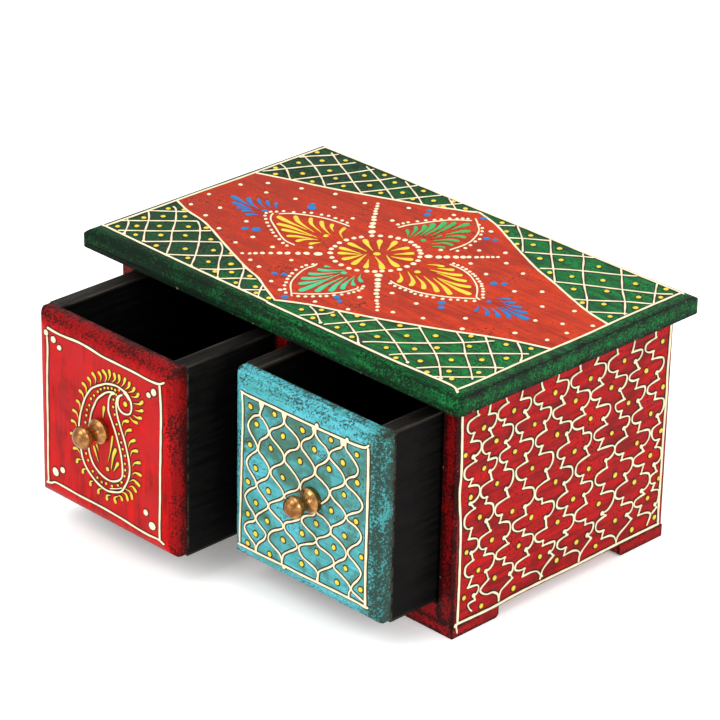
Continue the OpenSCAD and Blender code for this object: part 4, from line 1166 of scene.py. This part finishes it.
PAISLEY_FRINGE = (
    ((2.2, 22.3), (3.1, 25.3), (1.2, 26.9)), ((4, 23.7), (5.1, 26.2), (4.7, 28.2)),
    ((6.1, 23.8), (7.9, 26), (7.5, 27.9)), ((9, 24.2), (10.4, 26.2), (10.2, 28.2)),
    ((11.4, 24), (12.9, 26), (13.6, 28.1)), ((13.3, 23.5), (15.4, 25.3), (16, 27.3)),
    ((15.2, 23), (17.7, 24.4), (18.7, 26.1)), ((16.9, 21.9), (19.7, 22.8), (20.9, 24.5)),
    ((17.9, 19.5), (21.5, 20.5), (23.1, 22.1)), ((19, 17.1), (21.1, 17.5), (23.1, 18.4)),
    ((17.8, 14.8), (20, 14.4), (22.2, 15)), ((15.9, 13.1), (17.9, 12.2), (20, 12.2)),
    ((11.5, 7.8), (12.5, 10), (15, 11)), ((13.1, 4.1), (14, 6.6), (16.5, 8)),
    ((15, .3), (16.1, 2.8), (18.6, 4.5)), ((16.1, -3.1), (17.2, -.6), (20, .5)),
    ((17.1, -7), (18.6, -5), (21.3, -3.9)), ((17, -10.5), (18.8, -9), (21.8, -9)),
    ((15.4, -14), (17.9, -12.5), (20.9, -13.6)), ((15.2, -16.3), (17.2, -15.5), (19, -16.8)),
    ((12.9, -17.9), (15.9, -18.4), (16.8, -20.6)), ((10.6, -20.2), (13.3, -20.2), (14.3, -22.2)),
    ((9, -22.2), (10.5, -22.4), (11.1, -23.4)), ((9.3, -22.5), (6.8, -24.3), (7.5, -25.9)),
    ((4.7, -24), (2.5, -25), (2.6, -26.5)), ((-.3, -23.1), (-2.3, -24.3), (-2.4, -25.7)),
    ((-5.3, -21.8), (-6.9, -22.7), (-6.9, -24)), ((-8.9, -18.1), (-11, -19), (-11.2, -20.4)),
    ((-11.9, -15.3), (-14.1, -15.9), (-14.5, -17.2)), ((-12.5, -12.8), (-14.4, -11.5), (-16.2, -12)),
    ((-15, -6), (-16.5, -6), (-17.8, -6.2)), ((-14.4, -2.2), (-15.3, -.7), (-17.1, -.6)),
    ((-13.2, 1.6), (-14.4, 3.7), (-16.2, 4.1)), ((-12.2, 5.7), (-12.5, 8.2), (-13.9, 8.9)),
    ((-10, 11), (-10.7, 13), (-12.3, 13.7)), ((-8.5, 13.9), (-8.7, 16.4), (-10.4, 17.5)),
    ((-6, 17.8), (-6, 19.8), (-7.3, 20.8)), ((-3.2, 20), (-3.2, 22.3), (-4.8, 23.7)),
    ((-.3, 21.9), (0, 24.1), (-1.2, 25.3)),
)
PAISLEY_STAMENS = (
    ((.8, 7.1), (1.1, 9.6), (1.5, 11.9), 1.7), ((3.4, -10.2), (5.0, -4.4), (6.1, 1.4), 1.1),
    ((5.1, -12.9), (6.3, -6.8), (7.7, -3.6), 2), ((6.5, -13.1), (7.9, -10.6), (9, -8.8), 1.8),
    ((-2.1, -12.4), (-3.4, -9.6), (-4.6, -6.8), 1.2), ((-2, -7.7), (-2.5, -6.5), (-3, -5.4), 1),
)

# Ornament of the right drawer front, u to the right and v up from its middle.
TRELLIS_LINE, TRELLIS_HEAD_LINE, RIGHT_LINE = 0.85, 2.0, 1.0
TRELLIS_DOT, BORDER_BLOB = 1.1, 0.95
# The trellis starts at the border, and each pair of strands that meets there has a thick head.
TRELLIS_TOP = 31.2
TRELLIS_HEADS = (-21.4, -9.7, 5.9, 20.9)
TRELLIS_HEAD_V = (31.4, 30.2, 29)
# Blobs of paint on the border line.
BORDER_BLOBS = ((7.2, 32), (22.6, 32), (-9, -32.3))
RIGHT_BORDER = (
    [(-32.6, 31.5), (-29.2, 31), (-17.8, 31.1), (-4.2, 31.1), (9.5, 31.2), (20.8, 31.5), (27.6, 31.8),
     (31.7, 32.5), (33.4, 34)],
    [(-31.9, 31.3), (-31.5, 25.6), (-31.5, 16.5), (-31.8, 7.5), (-32, -1.6), (-32.3, -10.7),
     (-32.6, -19.8), (-32.9, -26.6), (-32.8, -31.6)],
    [(-34.4, -32.5), (-32.4, -32.2), (-22.4, -32.1), (-9.2, -31.7), (.4, -31.7), (9.5, -31.4),
     (20.8, -31.2), (29.9, -31.2), (34.5, -31.7)],
    [(33.1, 32.9), (33.2, 27.9), (33.3, 18.8), (33.2, 5.2), (33.1, -8.5), (33, -17.5), (33.1, -26.6),
     (33.2, -31.2)],
)
TRELLIS = (
    [(-22.4, 30.5), (-21.9, 27.9), (-22.6, 25.4), (-25.5, 23.8), (-27.8, 21.1), (-28.5, 18.8),
     (-27.4, 16.5), (-25.1, 14.3), (-23.5, 12), (-24, 10.2), (-26.5, 7.9), (-28.5, 5.6), (-29.2, 3.4),
     (-28, 1.1), (-25.5, -1.2), (-24.1, -3), (-24.4, -4.8), (-27.4, -7.1), (-29.4, -9.4),
     (-29.9, -11.2), (-28.3, -13.9), (-25.5, -16), (-24.4, -17.8), (-25.1, -19.4), (-28.3, -21.2),
     (-30.1, -23.2), (-29.6, -25.3), (-26.9, -27.5), (-24.6, -29.1), (-24, -31.9)],
    [(-20.5, 30.5), (-21.7, 27.9), (-22.4, 25.4), (-20.1, 23.8), (-18, 21.5), (-17.8, 19.3),
     (-19.2, 17.5), (-21.9, 15.2), (-22.8, 12.5), (-22.8, 10.4), (-20.1, 8.4), (-17.8, 6.5),
     (-17.1, 4.3), (-18.5, 1.1), (-21.5, -1.2), (-23.5, -3.2), (-23, -5.3), (-20.1, -7.5),
     (-17.8, -9.4), (-18, -11.2), (-20.5, -13.5), (-23.3, -16), (-24.1, -18), (-22.4, -19.8),
     (-19.6, -21.4), (-18.7, -22.5), (-19.6, -24.8), (-22.4, -27.5), (-23.6, -29.6), (-23.8, -31.9)],
    [(-10.5, 30.5), (-9.7, 28.4), (-10.1, 26.3), (-12.8, 24), (-16, 22), (-17.1, 20.2), (-16, 18.4),
     (-12.4, 16.3), (-9.9, 14.3), (-9.4, 12), (-11, 9.7), (-14.2, 7.5), (-16.2, 5.4), (-16, 3.1),
     (-12.8, 1.1), (-10.3, -.7), (-9.4, -2.8), (-11, -4.8), (-14.2, -6.9), (-16.9, -8.9), (-16.9, -11),
     (-13.7, -12.8), (-10.5, -14.1), (-9.6, -16), (-11.5, -17.5), (-15.1, -19.6), (-17.1, -21.9),
     (-17.1, -24.4), (-14.6, -26), (-11.5, -27.5), (-10.3, -29.4), (-10.1, -31.9)],
    [(-8.7, 30.5), (-9.4, 28.1), (-8.7, 26.5), (-5.5, 25), (-2.6, 23.4), (-1.6, 21.3), (-3, 18.8),
     (-6.5, 16.8), (-8.7, 14.3), (-8.8, 11.5), (-6, 9.7), (-2.8, 7.5), (-1.2, 5.2), (-2.4, 2.5),
     (-6, .2), (-8.7, -1.9), (-8.4, -3.6), (-4.5, -6), (-1.3, -8.3), (-1.5, -9.4), (-4.6, -11.4),
     (-8.3, -13.5), (-9, -15.3), (-7.8, -17.1), (-4.2, -18.9), (-2.1, -20.7), (-3.3, -22.5),
     (-6.5, -24.8), (-9.2, -27.1), (-9.9, -29.4), (-10, -31.9)],
    [(5.1, 30.5), (5.6, 28.4), (4, 26.1), (1.3, 24.3), (-.3, 22.5), (-.3, 20.2), (2.2, 18.4),
     (5.1, 16.3), (6.5, 14.3), (6, 11.8), (3.5, 9.5), (.8, 7.5), (-.5, 5.2), (-.2, 3), (3.5, .5),
     (6.5, -2), (6.3, -4.4), (2.6, -6.2), (.4, -8), (.4, -9.8), (3.5, -11.6), (6.7, -12.8),
     (7.9, -14.4), (6.3, -16.2), (2.6, -18), (-.8, -20), (-1, -22.1), (.8, -24.1), (4.5, -25.3),
     (7.6, -26.4), (8.8, -28), (8.3, -31.2)],
    [(6.7, 30.5), (6.7, 28.4), (8.8, 26.5), (11.7, 25.2), (13.3, 23.4), (13.3, 21.3), (11.3, 18.8),
     (8.1, 16.3), (7, 14.3), (7.2, 12.2), (10.4, 10.9), (13.3, 9.3), (14.2, 7.5), (13.1, 4.7),
     (9.9, 1.5), (6.8, -1.5), (8.1, -3), (11.7, -3.7), (14.7, -5.7), (14.9, -8.5), (12.2, -11),
     (8.8, -13), (7.9, -14.8), (9.5, -16.4), (13.1, -17.1), (16.3, -18.2), (17, -20.3), (14.9, -22.5),
     (11.7, -24.8), (9.5, -26.6), (9, -28.5), (8.8, -31.2)],
    [(19.7, 30.5), (19.9, 28.4), (17.2, 26.5), (14.5, 24.3), (13.8, 22), (16.3, 20.4), (19.7, 18.6),
     (21.7, 16.3), (21.3, 13.8), (18.5, 11.5), (15.4, 9.5), (14.7, 7.5), (16.7, 5.6), (20.4, 4),
     (22.6, 2), (21.7, -.7), (18.5, -3.5), (15.8, -5.5), (15.4, -8.5), (17.6, -9.4), (20.8, -10.7),
     (23.1, -12.8), (22.6, -15.7), (19.5, -18.2), (17.2, -20.5), (17.6, -22.1), (21.3, -23.7),
     (24.5, -25.3), (25.8, -27.1), (25.1, -28.9), (24.9, -31.2)],
    [(22, 30.5), (22.2, 28.4), (24.9, 26.3), (27.6, 24), (28.5, 22), (27.2, 19.5), (24, 17.5),
     (22.4, 15.4), (23.5, 13.8), (27.2, 12.5), (30.1, 10.6), (31, 8.6), (29.5, 6.1), (25.8, 3.8),
     (23.3, 1.8), (24, .2), (27.6, -.7), (30.1, -2.3), (30.6, -4.4), (29, -7.1), (26.3, -9.4),
     (24.2, -11.9), (24.5, -13.7), (27.6, -15.5), (30.4, -17.5), (30.8, -19.4), (29.2, -22.1),
     (27, -24.8), (26.3, -27.1), (29, -28.5), (32.9, -29.7)],
)
TRELLIS_DOTS = (
    (-27.4, 27), (-14.7, 28.5), (-.1, 27.5), (14.5, 29.1), (27.6, 28.1), (-24.1, 21), (-10.2, 21.3),
    (6.1, 22), (20.7, 22.3), (-16.5, 14), (-1.2, 14.5), (13.7, 17.1), (28.1, 17.1), (-27.5, 11.3),
    (21.6, 9.7), (-10.1, 4.5), (-24.5, 2.8), (15.2, .8), (27.9, 1.4), (-28.5, -4.3), (-17.6, -4),
    (7.6, -7.5), (22.2, -6.7), (-24.2, -11.5), (.3, -14.5), (16.8, -13.6), (30.9, -11.9),
    (-18.1, -16.6), (-28.4, -17.7), (8, -19), (23, -19.8), (-9.6, -21.2), (-24.3, -24.5),
    (30.8, -25.3), (.3, -27.1), (18.8, -27.3), (-28.5, -30.1), (-16.7, -30),
)


def paisley_front(face):
    """Paisley with a dotted band, a fringe of commas and a few strokes inside, in a hand-drawn border."""
    lines, yellows = Relief(face, 31, height=0.45), Relief(face, 32, height=0.45)
    lines.strokes(LEFT_BORDER, 0.8, LEFT_LINE, height=0.5)
    lines.sized_dots(LEFT_BORDER_DOTS, height=CORNER_DOT_HEIGHT)
    lines.strokes(PAISLEY_LINES, 0.5, PAISLEY_LINE)
    lines.stroke(smooth(PAISLEY_THIN, 0.5), PAISLEY_THIN_LINE)
    lines.stroke(smooth(PAISLEY_CURL, 0.4), PAISLEY_CURL_LINE)
    yellows.dots(PAISLEY_DOTS, PAISLEY_DOT)
    yellows.sized_dots(PAISLEY_EYES)
    for tail, middle, head in PAISLEY_FRINGE:
        yellows.drop(tail, middle, head, FRINGE_DROP)
    yellows.drops(PAISLEY_STAMENS)
    lines.piece("left_front_paisley_lines", "left_drawer", "red_painted_wood",
                raised_paint("cream_on_left_front", CREAM, LEFT_FRONT_GRIME_AND_SHADE))
    yellows.piece("left_front_paisley_strokes", "left_drawer", "red_painted_wood",
                  raised_paint("yellow_on_left_front", YELLOW, LEFT_FRONT_GRIME_AND_SHADE))


def trellis_front(face):
    """Trellis of strands that meet and part, with a dot in each mesh, in a hand-drawn border."""
    lines, dots = Relief(face, 41, height=0.45), Relief(face, 42)
    lines.strokes(RIGHT_BORDER, 0.8, RIGHT_LINE, height=0.5)
    lines.dots(BORDER_BLOBS, BORDER_BLOB)
    for points in TRELLIS:
        top = (points[0][0], TRELLIS_TOP)
        lines.stroke(smooth([top] + points, 0.5), TRELLIS_LINE, wobble=0.14)
    for u in TRELLIS_HEADS:
        lines.stroke([(u, v) for v in TRELLIS_HEAD_V], TRELLIS_HEAD_LINE, wobble=0.0)
    dots.dots(TRELLIS_DOTS, TRELLIS_DOT)
    lines.piece("right_front_trellis", "right_drawer", "turquoise_painted_wood",
                raised_paint("cream_on_right_front", CREAM, RIGHT_FRONT_GRIME_AND_SHADE))
    dots.piece("right_front_dots", "right_drawer", "turquoise_painted_wood",
               raised_paint("yellow_on_right_front", YELLOW, RIGHT_FRONT_GRIME_AND_SHADE))


def middle_of(node):
    low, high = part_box(node)
    return [(a + b) / 2 for a, b in zip(low, high)]


X, Y, Z = 0, 1, 2
RIGHTWARD, BACKWARD, UPWARD = (1, 0, 0), (0, 1, 0), (0, 0, 1)
# How far in from its outline, in millimetres, a drawer front's or the top board's rim rounds back.
FRONT_ROUND, TOP_NOSE = 6.5, 5.2


def front_face(node):
    """The front of a drawer, flat in the middle and rounded back along its rim."""
    low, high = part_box(node)
    half_u, half_v = ((high[k] - low[k]) / 2 * PER_MM - FRONT_ROUND for k in (X, Z))
    x, _, z = middle_of(node)
    return Face((x, low[Y], z), RIGHTWARD, UPWARD, (half_u, half_v, FRONT_ROUND))


def top_face():
    """The upper face of the top board, flat in the middle and rounded back along its nose."""
    low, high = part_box("top_board")
    half_u, half_v = ((high[k] - low[k]) / 2 * PER_MM - TOP_NOSE for k in (X, Y))
    x, y, _ = middle_of("top_board")
    return Face((x, y, high[Z]), RIGHTWARD, BACKWARD, (half_u, half_v, TOP_NOSE))


# Each board paint in its lighter and its deeper strokes, and where it is worn.
RED, DEEP_RED, WORN_RED = rgb(178, 14, 16), rgb(108, 7, 10), rgb(22, 5, 5)
GREEN, DEEP_GREEN, WORN_GREEN = rgb(4, 120, 52), rgb(5, 52, 25), rgb(6, 10, 7)
CYAN, DEEP_CYAN, WORN_CYAN = rgb(86, 182, 196), rgb(62, 138, 138), rgb(38, 42, 30)
FIELD_RED, DEEP_FIELD_RED, WORN_FIELD_RED = rgb(190, 52, 14), rgb(142, 31, 8), rgb(50, 14, 8)
FRONT_RED, DEEP_FRONT_RED = rgb(190, 10, 11), rgb(122, 5, 7)
RED_GLAZE, CYAN_GLAZE, STAIN = rgb(162, 20, 22), rgb(62, 98, 82), rgb(8, 7, 7)
# The wood where the paint has chipped off.
BARE, BARE_UNDER_CYAN = rgb(150, 124, 96), rgb(150, 92, 60)
# The way the grain runs in each red board of the case.
CASE_GRAIN = {
    "left_side_panel": "y", "right_side_panel": "y", "back_panel": "x", "bottom_board": "x",
    "ceiling_panel": "x", "centre_divider": "z", "front_left_foot": "y", "front_right_foot": "y",
    "rear_left_foot": "y", "rear_right_foot": "y",
}
# Each stained part of a drawer, the way its grain runs and how much its top edge is rubbed.
DRAWER_PARTS = (("left_side", "y", 0.5), ("right_side", "y", 0.3), ("back", "x", 0.3),
                ("bottom", "x", 0.3))


def dress_case():
    """Green top board, and red boards whose front edges are darkened with painted shade."""
    dress("top_board", painted_wood(
        "green_board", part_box("top_board"), "x", GREEN, DEEP_GREEN, WORN_GREEN, BARE,
        wear=2.6, patchy=0.4, pores=0.45, stipple=0.03, shades=((X, -0.07, 0.045, 0.85),)))
    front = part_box("right_side_panel")[0][Y]
    for node, grain in CASE_GRAIN.items():
        low_down = node == "bottom_board" or node.endswith("foot")
        # Painted shade on the front edges over their first millimetre or two, weaker on the bottom board
        # and feet.
        edge_shade = (Y, front + 0.0005, front + 0.0018, 0.3 if low_down else 1.0)
        dress(node, painted_wood(
            "red_" + node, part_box(node), grain, RED, DEEP_RED, WORN_RED, BARE,
            wear=1.2, patchy=0.4, pores=0.4, stipple=-0.005, shades=(edge_shade,)))


def dress_left_front():
    """Red front with painted shade along its top, darker along its right rim, glazed inside the painted
    border.
    """
    node = "left_drawer_front"
    edge, _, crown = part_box(node)[1]
    # Painted shade over the rounded top's upper 8 millimetres.
    top_shade = (Z, crown + 0.001, crown - 0.008, 1.15)
    rim_shade = (X, edge + 0.0005, edge - 0.0032, 1.3)
    dress(node, painted_wood(
        "red_front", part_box(node), "z", FRONT_RED, DEEP_FRONT_RED, WORN_RED, BARE,
        wear=2.4, patchy=0.25, pores=0.2, stipple=-0.05, shades=(top_shade, rim_shade),
        wash=(middle_of(node), (31.6, 32.0), RED_GLAZE, 0.85, 0.06), inside=STAIN))


def dress_right_front():
    """Turquoise front, dark along its right rim, glazed inside the painted border."""
    node = "right_drawer_front"
    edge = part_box(node)[1][X]
    dress(node, painted_wood(
        "turquoise_front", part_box(node), "x", CYAN, DEEP_CYAN, WORN_CYAN, BARE_UNDER_CYAN,
        wear=3.4, patchy=0.5, pores=0.5, stipple=-0.02,
        shades=((X, edge - 0.002, edge - 0.01, 1.25),),
        wash=(middle_of(node), (32.0, 31.4), CYAN_GLAZE, 0.95, 0.01), inside=STAIN))


def dress_drawers():
    dress_left_front()
    dress_right_front()
    for side in ("left", "right"):
        for part, grain, rub in DRAWER_PARTS:
            node = side + "_drawer_" + part
            dress(node, stained_wood("stained_" + node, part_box(node), grain, rub))
        knob = side + "_knob"
        dress(knob, aged_brass("brass_" + knob, middle_of(knob)))
        for hidden in ("_screw", "_washer"):
            dress(knob + hidden, zinc_steel("zinc_" + side + hidden))


def main():
    add_camera()
    add_studio()
    dress_case()
    dress_drawers()
    top_ornament(top_face(), painted_wood(
        "orange_red_field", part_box("top_board"), "x", FIELD_RED, DEEP_FIELD_RED, WORN_FIELD_RED, BARE,
        wear=0.4, patchy=0.4, pores=0.5, stipple=-0.02, shades=((X, -0.09, 0.03, 0.4),)))
    low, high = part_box("right_side_panel")
    side_lattice(Face((high[X], low[Y], 0.0), BACKWARD, UPWARD), "right_side", 51)
    low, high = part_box("left_side_panel")
    side_lattice(Face((low[X], low[Y], 0.0), BACKWARD, UPWARD, mirrored=True), "left_side", 61)
    paisley_front(front_face("left_drawer_front"))
    trellis_front(front_face("right_drawer_front"))


main()
